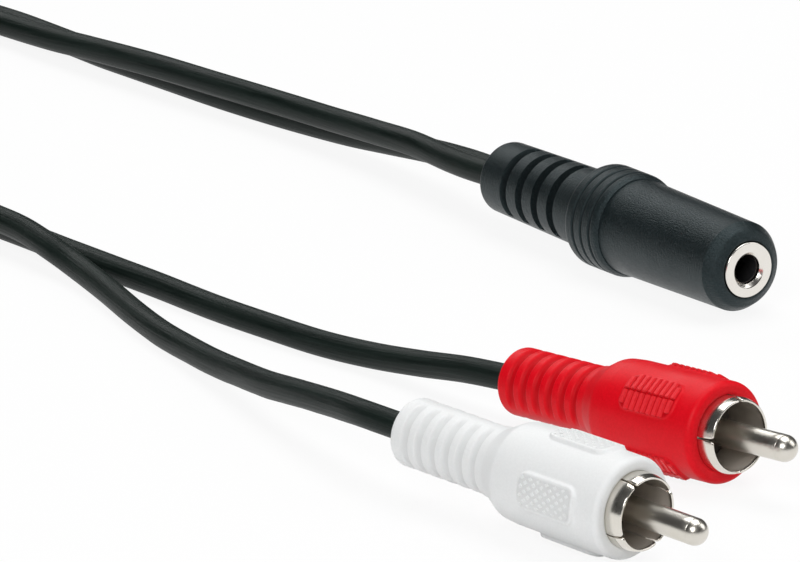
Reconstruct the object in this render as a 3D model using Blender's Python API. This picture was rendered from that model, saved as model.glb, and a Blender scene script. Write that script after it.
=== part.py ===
"""Y-adapter cable: a moulded jack socket, a twin cord and two moulded phono plugs, white and red.

Metres, +Z up.  The socket's mating axis is +X and the floor is z = 0.  Each connector is modelled
along its own X axis, with the face that mates at x = 0 and its cord leaving at the rear, towards -X.
"""
import math
from dataclasses import dataclass

import bmesh
import bpy
from mathutils import Matrix, Vector

MM = 0.001

# Fits between pieces
GAP = 0.3 * MM
CLOSE_FIT = 0.15 * MM

# Cord: two round cores side by side
CORE_D = 3.2 * MM
INSULATION_R = 0.6 * MM
CONDUCTOR_R = 0.3 * MM
PIGTAIL_R = 0.35 * MM
CORD_FLOOR_Z = 1.65 * MM

# Jack socket
SOCKET_PLACE = (-15.1 * MM, 35.6 * MM)
SOCKET_ROLL = math.radians(-27.7)
SOCKET_L = 50.1 * MM
NOSE_L = 2.1 * MM
NOSE_FACE_X = 0.6 * MM
NOSE_FACE_R = 4.65 * MM
NOSE_EDGE_X = 1.2 * MM
NOSE_EDGE_R = 5.2 * MM
BARREL_FRONT_R = 5.58 * MM
BARREL_REAR_R = 6.0 * MM
COLLAR_FRONT_X = 22.6 * MM
COLLAR_L = 6.8 * MM
COLLAR_R = 6.5 * MM
COLLAR_SHOULDER_L = 1.1 * MM
COLLAR_REAR_EDGE = 0.9 * MM
COLLAR_GROOVES = 3
COLLAR_FIRST = 1.5 * MM
COLLAR_PITCH = 1.68 * MM
COLLAR_GROOVE_W = 0.5 * MM
COLLAR_GROOVE_DEPTH = 0.25 * MM
SOCKET_NECK_R = 5.0 * MM
SOCKET_REAR_R = 4.52 * MM
SLOT_COUNT = 4
SLOT_PITCH = 3.38 * MM
SLOT_FIRST = 5.4 * MM
SLOT_W = 1.2 * MM
SLOT_FLOOR_R = 3.65 * MM
SLOT_HALF_ANGLE = math.radians(73)
RELIEF_EDGE_R = 0.7 * MM
CORD_TURN_IN_SOCKET = math.radians(15.7)
WIRE_ROOM = 4.4 * MM
WIRE_END = 0.5 * MM
BUSH_FLANGE_R = 3.45 * MM
BUSH_FLANGE_L = 1.2 * MM
BUSH_SLEEVE_R = 3.05 * MM
BUSH_L = 14.0 * MM
JACK_HOLE_R = 1.8 * MM
JACK_MOUTH_R = 2.19 * MM
JACK_CHAMFER = 0.35 * MM
FRAME_R = 4.0 * MM
FRAME_L = 10.6 * MM
FRAME_BORE_R = 2.6 * MM
CHAMBER_R = 4.75 * MM
STRIP_T = 0.25 * MM
STRIP_W = 1.5 * MM
SPRING_REST_R = 2.0 * MM
SPRING_CONTACT_R = 1.45 * MM
SPRING_TAIL = 6.5 * MM
SPRING_RAMP_L = 3.0 * MM
SPRING_TIP_L = 1.6 * MM
CONTACT_HALF_L = 0.4 * MM
TIP_CONTACT_X = 5.5 * MM
RING_CONTACT_X = 3.5 * MM
TAG_ARM_TAIL = 3.0 * MM

# Phono plug
PIN_R = 1.6 * MM
PIN_PROUD = 8.93 * MM
PLUG_L = 37.3 * MM
SHELL_R = 4.55 * MM
SHELL_WALL = 0.4 * MM
SHELL_PROUD = 2.3 * MM
SHELL_L = 9.0 * MM
SHELL_SLOT_W = 0.25 * MM
SHELL_SLOT_L = 6.2 * MM
SHELL_SLOT_TURN = math.radians(32)
TAB_W = 2.0 * MM
TAB_L = 7.0 * MM
TAB_R = 2.9 * MM
DISC_FACE_X = 6.0 * MM
DISC_NECK_R = 2.15 * MM
PIN_SOLDER_L = 12.5 * MM
PIN_SOLDER_R = 1.1 * MM
BODY_FRONT_R = 6.05 * MM
FACE_EDGE_R = 1.0 * MM
MOUTH_EDGE = 0.1 * MM
BODY_R = 5.95 * MM
BODY_REAR_X = 18.9 * MM
FLARE_R = 4.4 * MM
FLARE_X = 22.2 * MM
NECK_X = 24.2 * MM
PLUG_RELIEF_R = 4.05 * MM
PLUG_EDGE_R = 0.55 * MM
GROOVE_COUNT = 6
GROOVE_PITCH = 2.2 * MM
GROOVE_FIRST = 2.4 * MM
GROOVE_W = 0.8 * MM
GROOVE_DEPTH = 0.35 * MM
GROOVE_HALF_ANGLE = math.radians(76)
PAD_R = 6.62 * MM
PAD_FRONT_X = 5.7 * MM
PAD_L = 8.7 * MM
PAD_HALF_ANGLE = math.radians(21.5)
PAD_CORNER = 1.4 * MM
PLUG_CAVITY_R = 3.6 * MM
PLUG_CAVITY_END = 17.3 * MM
PLUG_JACKET_END = 21.0 * MM
WHITE_PLUG_PLACE = (56.4 * MM, -31.6 * MM)
RED_PLUG_PLACE = (39.9 * MM, -6.45 * MM)

# Coil of the length that is not laid out
COIL_PLACE = (-166.0 * MM, -30.0 * MM)
COIL_MEAN_R = 34.0 * MM
COIL_W = 10.0 * MM
COIL_H = 12.9 * MM
TIE_T = 0.5 * MM
TIE_W = 3.5 * MM
TIE_ANGLE = math.radians(205)

ROUND_STEPS = 24
PIN_STEPS = 16
COIL_STEPS = 48
SOFT_EDGE = math.radians(32)


@dataclass(frozen=True)
class PlugPlace:
    """Where one plug lies: its shell's front centre, heading, nose-up tilt and roll."""

    name: str
    x: float
    y: float
    heading: float
    tilt: float
    roll: float


PLUGS = (
    PlugPlace("white", *WHITE_PLUG_PLACE, math.radians(9.8), math.radians(-2.5), math.radians(-4.8)),
    PlugPlace("red", *RED_PLUG_PLACE, math.radians(6.8), math.radians(2.7), math.radians(-42.0)),
)

# Routes of the cords outside the connectors, in millimetres: x, y, z.  The twin's fourth value is
# the rise in degrees of the core that ends in the white plug, seen from behind as the cord runs on.
TWIN_ROUTE = (
    (-70.5, 35.7, 6.2, 12), (-75.9, 36.2, 5.9, 13), (-85.6, 37.3, 5.2, 26),
    (-96.0, 37.8, 4.2, 36), (-105.0, 37.7, 3.5, 44), (-117.3, 37.0, 3.05, 50),
    (-129.4, 35.9, 2.9, 49), (-141.8, 35.0, 2.8, 43), (-154.7, 34.2, 2.5, 32),
    (-163.6, 33.8, 2.3, 20), (-177.1, 33.3, 2.1, 12), (-188.5, 31.0, 2.5, 26),
    (-198.2, 24.6, 3.1, 50), (-204.6, 15.0, 3.7, 72), (-206.9, 3.5, 4.1, 86),
    (-206.9, -10.0, 4.3, 90), (-206.9, -29.5, 4.3, 90),
)
TAIL_ROUTE = (
    (-145.5, -65.5, 10.8, 90), (-137.3, -60.9, 10.2, 91), (-129.9, -54.9, 9.2, 95),
    (-124.4, -47.2, 7.9, 101), (-121.3, -38.6, 6.5, 109), (-118.0, -30.5, 5.2, 119),
    (-112.4, -24.4, 4.0, 130), (-106.2, -21.4, 3.1, 138), (-101.4, -20.5, 2.85, 140),
)
WHITE_ROUTE = (
    (-100.7, -21.6, 3.9), (-93.7, -21.3, 3.85), (-87.9, -21.2, 3.7), (-81.2, -21.5, 3.05),
    (-75.1, -21.7, 2.1), (-65.8, -23.5, 1.7), (-55.9, -26.1, 1.65), (-47.1, -28.1, 1.65),
    (-39.4, -29.5, 1.9), (-31.4, -31.2, 2.5),
    (-23.2, -32.9, 3.4), (-14.5, -34.9, 4.6), (-5.6, -36.5, 6.0), (3.7, -37.9, 7.3),
    (11.6, -38.9, 8.15),
)
RED_ROUTE = (
    (-101.0, -19.0, 1.65), (-96.9, -18.7, 1.65), (-90.6, -18.4, 1.65), (-83.9, -18.2, 1.65),
    (-77.9, -17.9, 1.65), (-71.8, -17.6, 1.65), (-63.8, -17.2, 1.65), (-52.4, -16.9, 1.65),
    (-42.2, -16.0, 1.65), (-32.4, -14.9, 1.7), (-23.7, -13.5, 2.1), (-15.0, -12.6, 3.1),
    (-6.2, -12.0, 4.4),
)
CORD_STEP = 8.0 * MM


def clear_scene():
    """Remove what a new Blender file holds."""
    for item in list(bpy.data.objects):
        bpy.data.objects.remove(item)


def finish_material(name, colour, roughness, metallic=0.0):
    """Return a Principled material in one plain colour."""
    material = bpy.data.materials.new(name)
    material.use_nodes = True
    shader = material.node_tree.nodes["Principled BSDF"]
    shader.inputs["Base Color"].default_value = (*colour, 1.0)
    shader.inputs["Roughness"].default_value = roughness
    shader.inputs["Metallic"].default_value = metallic
    return material


def add_object(name, data, material, parent=None):
    """Link a new object that carries the data, the material and the parent."""
    item = bpy.data.objects.new(name, data)
    bpy.context.scene.collection.objects.link(item)
    if material is not None:
        data.materials.append(material)
    item.parent = parent
    return item


def mesh_object(name, bm, material, parent=None):
    """Turn a bmesh into a shaded object, with its faces pointing out."""
    bmesh.ops.remove_doubles(bm, verts=bm.verts, dist=1e-7)
    bmesh.ops.recalc_face_normals(bm, faces=bm.faces)
    mesh = bpy.data.meshes.new(name)
    bm.to_mesh(mesh)
    bm.free()
    mesh.shade_smooth()
    mesh.set_sharp_from_angle(angle=SOFT_EDGE)
    return add_object(name, mesh, material, parent)


def turned(name, outline, material, parent=None, steps=ROUND_STEPS):
    """Turn a closed outline of (x, radius) points about the X axis."""
    bm = bmesh.new()
    verts = [bm.verts.new((x, r, 0.0)) for x, r in outline]
    edges = [bm.edges.new((a, b)) for a, b in zip(verts, verts[1:] + verts[:1])
             if a.co.y > 1e-9 or b.co.y > 1e-9]
    bmesh.ops.spin(bm, geom=verts + edges, cent=(0, 0, 0), axis=(1, 0, 0), angle=2 * math.pi,
                   steps=steps, use_merge=False)
    return mesh_object(name, bm, material, parent)


def rounded(x, r, centre_x, centre_r, count=4):
    """Return a quarter round from the corner side (x, centre_r) to (centre_x, r)."""
    points = []
    for i in range(count + 1):
        angle = math.pi / 2 * i / count
        points.append((centre_x + (x - centre_x) * math.cos(angle),
                       centre_r + (r - centre_r) * math.sin(angle)))
    return points


def wrapped_block(bm, stations, half_angles, inner_r, outer_r, centre_angle, columns=10):
    """Add a block that wraps part of the way round the X axis.

    Its half width, as an angle, is given at each station along X.
    """
    grids = []
    for radius in (inner_r, outer_r):
        grid = []
        for x, half in zip(stations, half_angles):
            row = []
            for j in range(columns + 1):
                angle = centre_angle + half * (2 * j / columns - 1)
                row.append(bm.verts.new((x, radius * math.cos(angle), radius * math.sin(angle))))
            grid.append(row)
        grids.append(grid)
    low, high = grids
    rows = len(stations)
    for i in range(rows - 1):
        for j in range(columns):
            for grid in grids:
                bm.faces.new((grid[i][j], grid[i + 1][j], grid[i + 1][j + 1], grid[i][j + 1]))
        for j in (0, columns):
            bm.faces.new((low[i][j], low[i + 1][j], high[i + 1][j], high[i][j]))
    for i in (0, rows - 1):
        for j in range(columns):
            bm.faces.new((low[i][j], low[i][j + 1], high[i][j + 1], high[i][j]))


def box(bm, low, high):
    """Add an axis-aligned box between two corners."""
    made = bmesh.ops.create_cube(bm, size=1.0)["verts"]
    low, high = Vector(low), Vector(high)
    for vert in made:
        vert.co = Vector([(low[k] + high[k]) / 2 + vert.co[k] * (high[k] - low[k]) for k in range(3)])
    return made


def boolean(target, tool, operation):
    """Leave an exact Boolean on the target and hide its tool."""
    modifier = target.modifiers.new(tool.name, "BOOLEAN")
    modifier.operation = operation
    modifier.solver = "EXACT"
    modifier.object = tool
    tool.hide_render = True
    tool.display_type = "WIRE"


def smooth_points(route, step):
    """Read points a step apart from a smooth curve that passes through the route's own points."""
    size = len(route[0])
    ends = [tuple(2 * a - b for a, b in zip(route[0], route[1]))]
    ends.append(tuple(2 * a - b for a, b in zip(route[-1], route[-2])))
    knots = [ends[0], *route, ends[1]]
    dense = []
    for before, start, end, after in zip(knots, knots[1:], knots[2:], knots[3:]):
        for i in range(16):
            t = i / 16
            dense.append([0.5 * (2 * start[k] + (end[k] - before[k]) * t
                                 + (2 * before[k] - 5 * start[k] + 4 * end[k] - after[k]) * t ** 2
                                 + (3 * start[k] - before[k] - 3 * end[k] + after[k]) * t ** 3)
                          for k in range(size)])
    dense.append(list(route[-1]))
    reach = [0.0]
    for a, b in zip(dense, dense[1:]):
        reach.append(reach[-1] + math.dist(a[:3], b[:3]))
    count = max(2, round(reach[-1] / step))
    points = []
    j = 0
    for i in range(count + 1):
        goal = reach[-1] * i / count
        while j < len(reach) - 2 and reach[j + 1] < goal:
            j += 1
        share = (goal - reach[j]) / (reach[j + 1] - reach[j])
        points.append([a + (b - a) * share for a, b in zip(dense[j], dense[j + 1])])
    return points


def tube(name, points, radius, material, half_width=0.0, tilts=None, parent=None, sides=2):
    """Make a closed tube along the points, flat if it has a half width between its two cores."""
    curve = bpy.data.curves.new(name, "CURVE")
    curve.dimensions = "3D"
    curve.twist_mode = "Z_UP"
    curve.use_fill_caps = True
    curve.bevel_depth = radius
    curve.extrude = half_width
    curve.bevel_resolution = sides
    spline = curve.splines.new("POLY")
    spline.points.add(len(points) - 1)
    for i, (node, place) in enumerate(zip(spline.points, points)):
        node.co = (*place[:3], 1.0)
        if tilts is not None:
            node.tilt = tilts[i]
    return add_object(name, curve, material, parent)


def connector_frame(name, x, y, z, heading=0.0, tilt=0.0, roll=0.0):
    """Return the empty that places a connector: roll about its axis, then tilt, then heading."""
    frame = bpy.data.objects.new(name, None)
    bpy.context.scene.collection.objects.link(frame)
    frame.location = (x, y, z)
    frame.rotation_euler = (roll, -tilt, heading)
    bpy.context.view_layer.update()
    return frame


def build_socket(materials):
    """Build the jack socket and return its frame."""
    frame = connector_frame("socket_frame", *SOCKET_PLACE, COLLAR_R, roll=SOCKET_ROLL)
    socket_overmould(frame, materials["black"])
    turned("socket_bush", bush_outline(), materials["nickel"], frame)
    socket_contacts(frame, materials)
    socket_wires(frame, materials)
    return frame


def spring_end():
    """Return where along the socket the springs end and the wires start."""
    return -BUSH_L - FRAME_L - SPRING_TAIL


def socket_jacket_end():
    """Return where along the socket the cord's jacket ends, short of the springs."""
    return spring_end() - WIRE_ROOM


def socket_overmould(frame, material):
    """Make the moulded body: nose, barrel, grooved collar and slotted strain relief."""
    collar_rear = -COLLAR_FRONT_X - COLLAR_L
    rear = -SOCKET_L
    nose_r = BUSH_FLANGE_R + CLOSE_FIT
    outline = [(-BUSH_FLANGE_L - GAP, nose_r), (-0.35 * MM, nose_r), (-0.2 * MM, nose_r + 0.4 * MM)]
    outline += [(-NOSE_FACE_X, NOSE_FACE_R), (-NOSE_EDGE_X, NOSE_EDGE_R), (-NOSE_L, BARREL_FRONT_R)]
    outline += [(-COLLAR_FRONT_X, BARREL_REAR_R)]
    outline += [(-COLLAR_FRONT_X, (BARREL_REAR_R + COLLAR_R) / 2)]
    outline += [(-COLLAR_FRONT_X - COLLAR_SHOULDER_L, COLLAR_R)]
    for i in range(COLLAR_GROOVES):
        centre = -COLLAR_FRONT_X - COLLAR_FIRST - COLLAR_PITCH * i
        outline += [(centre + COLLAR_GROOVE_W / 2, COLLAR_R), (centre, COLLAR_R - COLLAR_GROOVE_DEPTH)]
        outline += [(centre - COLLAR_GROOVE_W / 2, COLLAR_R)]
    outline += reversed(rounded(collar_rear, COLLAR_R, collar_rear + COLLAR_REAR_EDGE,
                                COLLAR_R - COLLAR_REAR_EDGE))
    outline += [(collar_rear, SOCKET_NECK_R)]
    outline += reversed(rounded(rear, SOCKET_REAR_R, rear + RELIEF_EDGE_R, SOCKET_REAR_R - RELIEF_EDGE_R))
    hole = CORE_D / 2 + GAP
    throat_rear = socket_jacket_end() - GAP
    throat_r = CORE_D + CLOSE_FIT
    outline += [(rear, hole), (throat_rear, hole), (throat_rear, throat_r)]
    outline += [(spring_end() - WIRE_END, throat_r), (collar_rear + COLLAR_REAR_EDGE, CHAMBER_R)]
    outline += [(-BUSH_L + GAP, CHAMBER_R), (-BUSH_L + GAP, BUSH_SLEEVE_R + CLOSE_FIT)]
    outline += [(-BUSH_FLANGE_L - GAP, BUSH_SLEEVE_R + CLOSE_FIT)]
    body = turned("socket_overmould", outline, material, frame)
    boolean(body, slot_cutter(frame), "DIFFERENCE")
    boolean(body, cord_mouth_cutter(frame), "DIFFERENCE")


def slot_cutter(frame):
    """Make the cutter of the strain relief's slots, open on two opposite sides."""
    bm = bmesh.new()
    for i in range(SLOT_COUNT):
        centre = -SOCKET_L + SLOT_FIRST + i * SLOT_PITCH
        stations = (centre - SLOT_W / 2, centre + SLOT_W / 2)
        for side in (0.0, math.pi):
            wrapped_block(bm, stations, (SLOT_HALF_ANGLE,) * 2, SLOT_FLOOR_R, COLLAR_R, side, columns=8)
    return mesh_object("slot_cutter", bm, None, frame)


def cord_mouth_cutter(frame):
    """Make the cutter of the flat mouth that the twin cord enters."""
    front, rear = socket_jacket_end() + GAP, -SOCKET_L - CORE_D / 2
    points = [(rear, 0, 0), ((front + rear) / 2, 0, 0), (front, 0, 0)]
    cutter = tube("cord_mouth_cutter", points, CORE_D / 2 + CLOSE_FIT, None, CORE_D / 2,
                  (math.pi / 2,) * len(points), frame, sides=3)
    cutter.rotation_euler = (CORD_TURN_IN_SOCKET, 0, 0)
    return solid_copy(cutter)


def solid_copy(item):
    """Replace a curve object by a mesh object of the same shape and place, for use as a cutter."""
    graph = bpy.context.evaluated_depsgraph_get()
    mesh = bpy.data.meshes.new_from_object(item.evaluated_get(graph))
    bm = bmesh.new()
    bm.from_mesh(mesh)
    copy = mesh_object(item.name + "_solid", bm, None, item.parent)
    copy.rotation_euler = item.rotation_euler
    bpy.data.objects.remove(item)
    return copy


def bush_outline():
    """Return the outline of the nickel bush: front flange, sleeve and chamfered jack hole."""
    return [(0.0, JACK_MOUTH_R), (0.0, BUSH_FLANGE_R - 0.15 * MM), (-0.15 * MM, BUSH_FLANGE_R),
            (-BUSH_FLANGE_L, BUSH_FLANGE_R), (-BUSH_FLANGE_L, BUSH_SLEEVE_R), (-BUSH_L, BUSH_SLEEVE_R),
            (-BUSH_L, JACK_HOLE_R), (-JACK_CHAMFER, JACK_HOLE_R)]


def spring_points(side):
    """Return a contact spring's middle line in the X-Z plane, above (1) or below (-1) the axis."""
    rest = SPRING_REST_R + STRIP_T / 2
    contact_x = -BUSH_L - (TIP_CONTACT_X if side > 0 else RING_CONTACT_X)
    contact = SPRING_CONTACT_R + STRIP_T / 2
    line = [(spring_end(), rest), (contact_x - SPRING_RAMP_L, rest), (contact_x - CONTACT_HALF_L, contact),
            (contact_x + CONTACT_HALF_L, contact), (contact_x + SPRING_TIP_L, rest - CLOSE_FIT)]
    return [(x, side * r) for x, r in line]


def strip_object(name, line, material, frame):
    """Bend a flat strip along a line of (x, height) points."""
    bm = bmesh.new()
    rings = []
    for i, (x, z) in enumerate(line):
        before = Vector(line[max(i - 1, 0)])
        after = Vector(line[min(i + 1, len(line) - 1)])
        along = (after - before).normalized()
        normal = Vector((-along.y, along.x)) * STRIP_T / 2
        ring = []
        for side, half in ((1, -1), (1, 1), (-1, 1), (-1, -1)):
            px, pz = x + side * normal.x, z + side * normal.y
            ring.append(bm.verts.new((px, half * STRIP_W / 2, pz)))
        rings.append(ring)
    for a, b in zip(rings, rings[1:]):
        for k in range(4):
            bm.faces.new((a[k], a[(k + 1) % 4], b[(k + 1) % 4], b[k]))
    bm.faces.new(rings[0])
    bm.faces.new(rings[-1])
    return mesh_object(name, bm, material, frame)


def socket_contacts(frame, materials):
    """Build the contact carrier, the two springs and the sleeve's solder tag."""
    front = -BUSH_L - GAP - STRIP_T
    rear = -BUSH_L - FRAME_L
    seat = front - CLOSE_FIT
    carrier = [(seat, FRAME_BORE_R), (seat, FRAME_R), (rear, FRAME_R), (rear, FRAME_BORE_R)]
    turned("socket_insulator", carrier, materials["ivory"], frame)
    strip_object("tip_spring", spring_points(1), materials["spring"], frame)
    strip_object("ring_spring", spring_points(-1), materials["spring"], frame)
    washer = [(front + STRIP_T, JACK_HOLE_R + CLOSE_FIT), (front + STRIP_T, FRAME_R), (front, FRAME_R),
              (front, JACK_HOLE_R + CLOSE_FIT)]
    tag = turned("sleeve_tag", washer, materials["nickel"], frame)
    boolean(tag, tag_arm(frame, front, rear - TAG_ARM_TAIL), "UNION")


def tag_arm(frame, front, tail):
    """Make the tag's bent arm, which runs back along the contact carrier."""
    foot_r, arm_r = (FRAME_R + BUSH_SLEEVE_R) / 2, FRAME_R + CLOSE_FIT
    profile = [(front, foot_r), (front + STRIP_T, foot_r), (front + STRIP_T, arm_r + STRIP_T),
               (tail, arm_r + STRIP_T), (tail, arm_r), (front, arm_r)]
    bm = bmesh.new()
    face = bm.faces.new([bm.verts.new((x, r, -STRIP_W / 2)) for x, r in profile])
    raised = bmesh.ops.extrude_face_region(bm, geom=[face])["geom"]
    top = [item for item in raised if isinstance(item, bmesh.types.BMVert)]
    bmesh.ops.translate(bm, verts=top, vec=(0, 0, STRIP_W))
    return mesh_object("sleeve_tag_arm", bm, None, frame)


def socket_wires(frame, materials):
    """Build the stripped ends of the two cores and the common shield pigtail."""
    jacket_end, spring_x = socket_jacket_end(), spring_end()
    spread = CORE_D / 2
    for name, side in (("left", 1), ("right", -1)):
        core = [(jacket_end + GAP, side * spread, 0.0),
                (jacket_end + WIRE_ROOM * 0.32, side * 1.45 * MM, side * 0.15 * MM),
                (jacket_end + WIRE_ROOM * 0.64, side * 0.95 * MM, side * 0.75 * MM),
                (spring_x - WIRE_END, side * 0.6 * MM, side * 1.1 * MM)]
        tube(name + "_core", core, INSULATION_R, materials["core"], parent=frame)
        wire_end = SPRING_REST_R - CONDUCTOR_R - 0.2 * MM
        wire = [(spring_x - WIRE_END + GAP, side * 0.55 * MM, side * 1.15 * MM),
                (spring_x + SPRING_TAIL * 0.16, side * 0.3 * MM, side * wire_end),
                (spring_x + SPRING_TAIL * 0.46, side * 0.2 * MM, side * wire_end)]
        tube(name + "_conductor", wire, CONDUCTOR_R, materials["copper"], parent=frame)
    tag_r = FRAME_R + CLOSE_FIT - PIGTAIL_R - 0.2 * MM
    carrier_rear = -BUSH_L - FRAME_L
    pigtail = [(jacket_end + GAP, 1.7 * MM, -1.55 * MM),
               (jacket_end + WIRE_ROOM * 0.68, 2.3 * MM, -1.3 * MM),
               (spring_x + SPRING_TAIL * 0.25, 3.1 * MM, -0.6 * MM),
               (carrier_rear - TAG_ARM_TAIL * 0.86, tag_r, 0.0),
               (carrier_rear - TAG_ARM_TAIL * 0.26, tag_r, 0.0)]
    tube("socket_pigtail", pigtail, PIGTAIL_R, materials["copper"], parent=frame)


def plug_rest_height(place):
    """Return the height of the shell's front centre when the plug's grip pads touch the floor."""
    edge = min(abs(math.remainder(place.roll, math.pi / 2)) - PAD_HALF_ANGLE, math.pi / 4)
    reach = PAD_R * math.cos(max(edge, 0.0))
    touch_x = PAD_FRONT_X if place.tilt < 0 else PAD_FRONT_X + PAD_L
    return reach / math.cos(place.tilt) + touch_x * math.sin(place.tilt)


def build_plug(place, materials):
    """Build one phono plug and return its frame."""
    frame = connector_frame(place.name + "_frame", place.x, place.y, plug_rest_height(place),
                            place.heading, place.tilt, place.roll)
    plug_overmould(place.name, frame, materials[place.name])
    plug_shell(place.name, frame, materials["nickel"])
    plug_centre(place.name, frame, materials)
    plug_wires(place.name, frame, materials)
    return frame


def plug_overmould(name, frame, material):
    """Make a plug's moulded body: barrel with four grip pads, flared neck and grooved relief."""
    bore = SHELL_R + CLOSE_FIT
    face = -SHELL_PROUD
    rear = -PLUG_L
    outline = [(face - MOUTH_EDGE, bore), (face, bore + MOUTH_EDGE)]
    outline += rounded(face, BODY_FRONT_R, face - FACE_EDGE_R, BODY_FRONT_R - FACE_EDGE_R)
    outline += reversed(rounded(-BODY_REAR_X, BODY_R, -BODY_REAR_X + 0.8 * MM, BODY_R - 0.35 * MM, 3))
    outline += [(-FLARE_X, FLARE_R), (-NECK_X, PLUG_RELIEF_R)]
    outline += reversed(rounded(rear, PLUG_RELIEF_R, rear + PLUG_EDGE_R, PLUG_RELIEF_R - PLUG_EDGE_R))
    hole = CORE_D / 2 + GAP
    outline += [(rear, hole), (-PLUG_CAVITY_END, hole), (-PLUG_CAVITY_END, PLUG_CAVITY_R)]
    outline += [(-SHELL_L - GAP, PLUG_CAVITY_R), (-SHELL_L - GAP, bore)]
    body = turned(name + "_overmould", outline, material, frame)
    boolean(body, pad_tool(name, frame), "UNION")
    boolean(body, groove_cutter(name, frame), "DIFFERENCE")


def pad_tool(name, frame):
    """Make the four raised grip pads, rounded rectangles wrapped on the barrel."""
    bm = bmesh.new()
    corner_share = PAD_CORNER / PAD_L
    corner_angle = PAD_CORNER / PAD_R
    shares = [0.0, corner_share * 0.3, corner_share, 1 - corner_share, 1 - corner_share * 0.3, 1.0]
    stations = [-PAD_FRONT_X - PAD_L * share for share in shares]
    halves = []
    for share in shares:
        into = min(share, 1 - share, corner_share) / corner_share
        halves.append(PAD_HALF_ANGLE - corner_angle * (1 - math.sqrt(1 - (1 - into) ** 2)))
    for k in range(4):
        wrapped_block(bm, stations, halves, BODY_R - 0.4 * MM, PAD_R, k * math.pi / 2, columns=4)
    return mesh_object(name + "_pad_tool", bm, None, frame)


def groove_cutter(name, frame):
    """Make the cutter of the relief's grooves, which stop short of two plain strips."""
    bm = bmesh.new()
    for i in range(GROOVE_COUNT):
        centre = -PLUG_L + GROOVE_FIRST + i * GROOVE_PITCH
        stations = (centre - GROOVE_W / 2, centre + GROOVE_W / 2)
        for side in (0.0, math.pi):
            wrapped_block(bm, stations, (GROOVE_HALF_ANGLE,) * 2, PLUG_RELIEF_R - GROOVE_DEPTH,
                          PLUG_RELIEF_R + 1.0 * MM, side, columns=8)
    return mesh_object(name + "_groove_cutter", bm, None, frame)


def plug_shell(name, frame, material):
    """Make the nickel outer contact: a slotted tube with a base, and a tab for the shield."""
    inner = SHELL_R - SHELL_WALL
    rim = 0.22 * MM
    outline = [(0.0, inner - rim), (0.0, SHELL_R - rim - 0.05 * MM), (-0.45 * MM, SHELL_R)]
    outline += [(-SHELL_L, SHELL_R), (-SHELL_L, DISC_NECK_R + CLOSE_FIT)]
    outline += [(-SHELL_L + SHELL_WALL, DISC_NECK_R + CLOSE_FIT)]
    outline += [(-SHELL_L + SHELL_WALL, inner), (-0.5 * MM, inner)]
    shell = turned(name + "_shell", outline, material, frame)
    bm = bmesh.new()
    box(bm, (-SHELL_L - TAB_L, -TAB_W / 2, TAB_R),
        (-SHELL_L + SHELL_WALL * 0.6, TAB_W / 2, TAB_R + STRIP_T))
    boolean(shell, mesh_object(name + "_tab_tool", bm, None, frame), "UNION")
    bm = bmesh.new()
    for k in range(4):
        wrapped_block(bm, (-SHELL_SLOT_L, SHELL_WALL), (SHELL_SLOT_W / 2 / SHELL_R,) * 2,
                      inner - SHELL_WALL, SHELL_R + SHELL_WALL, SHELL_SLOT_TURN + k * math.pi / 2,
                      columns=1)
    boolean(shell, mesh_object(name + "_slot_tool", bm, None, frame), "DIFFERENCE")


def plug_centre(name, frame, materials):
    """Build the insulating disc and the centre pin that it carries."""
    inner = SHELL_R - SHELL_WALL - CLOSE_FIT
    seat = -SHELL_L + SHELL_WALL + CLOSE_FIT
    hole = PIN_R + CLOSE_FIT
    disc = [(-DISC_FACE_X, hole), (-DISC_FACE_X, inner), (seat, inner), (seat, DISC_NECK_R),
            (-SHELL_L - 0.8 * MM, DISC_NECK_R), (-SHELL_L - 0.8 * MM, hole)]
    turned(name + "_insulator", disc, materials["insulator"], frame)
    flange_x = -DISC_FACE_X + CLOSE_FIT
    neck_end = -SHELL_L - 1.1 * MM
    pin = [(-PIN_SOLDER_L, 0.0), (-PIN_SOLDER_L, PIN_SOLDER_R), (neck_end, PIN_SOLDER_R), (neck_end, PIN_R)]
    pin += [(flange_x, PIN_R), (flange_x, PIN_R + 0.4 * MM), (flange_x + 0.4 * MM, PIN_R + 0.4 * MM)]
    pin += [(flange_x + 0.4 * MM, PIN_R)]
    dome = 1.45 * MM
    pin += reversed(rounded(PIN_PROUD, PIN_R, PIN_PROUD - dome, 0.0, 6))
    turned(name + "_pin", pin, materials["nickel"], frame, steps=PIN_STEPS)


def plug_wires(name, frame, materials):
    """Build the stripped core and the shield pigtail inside a plug."""
    jacket_end = -PLUG_JACKET_END + GAP
    core_end = -PLUG_CAVITY_END + 1.8 * MM
    tube(name + "_core", [(jacket_end, 0, 0), ((jacket_end + core_end) / 2, 0, 0), (core_end, 0, 0)],
         INSULATION_R, materials["core"], parent=frame)
    wire_start, wire_end = core_end + GAP, -PIN_SOLDER_L - GAP
    wire = [(wire_start, 0, 0), ((wire_start + wire_end) / 2, 0, 0), (wire_end, 0, 0)]
    tube(name + "_conductor", wire, CONDUCTOR_R, materials["copper"], parent=frame)
    rest = TAB_R - PIGTAIL_R - 0.2 * MM
    low = CORE_D / 2 - PIGTAIL_R - CLOSE_FIT
    pigtail = [(jacket_end, 0, low), (-PLUG_CAVITY_END - 1.2 * MM, 0, low),
               (-PLUG_CAVITY_END + 0.6 * MM, 0, low + 0.35 * MM),
               (-SHELL_L - TAB_L + 0.6 * MM, 0, rest), (-SHELL_L - TAB_L / 2, 0, rest)]
    tube(name + "_pigtail", pigtail, PIGTAIL_R, materials["copper"], parent=frame)


def in_millimetres(route):
    """Return a route with its places in metres and its fourth value as given."""
    return [tuple(value * MM for value in point[:3]) + tuple(point[3:]) for point in route]


def laid_tilts(points):
    """Return the curve tilts that raise one core of the twin by the fourth value of each point."""
    return [math.pi / 2 + math.radians(point[3]) for point in points]


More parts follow.
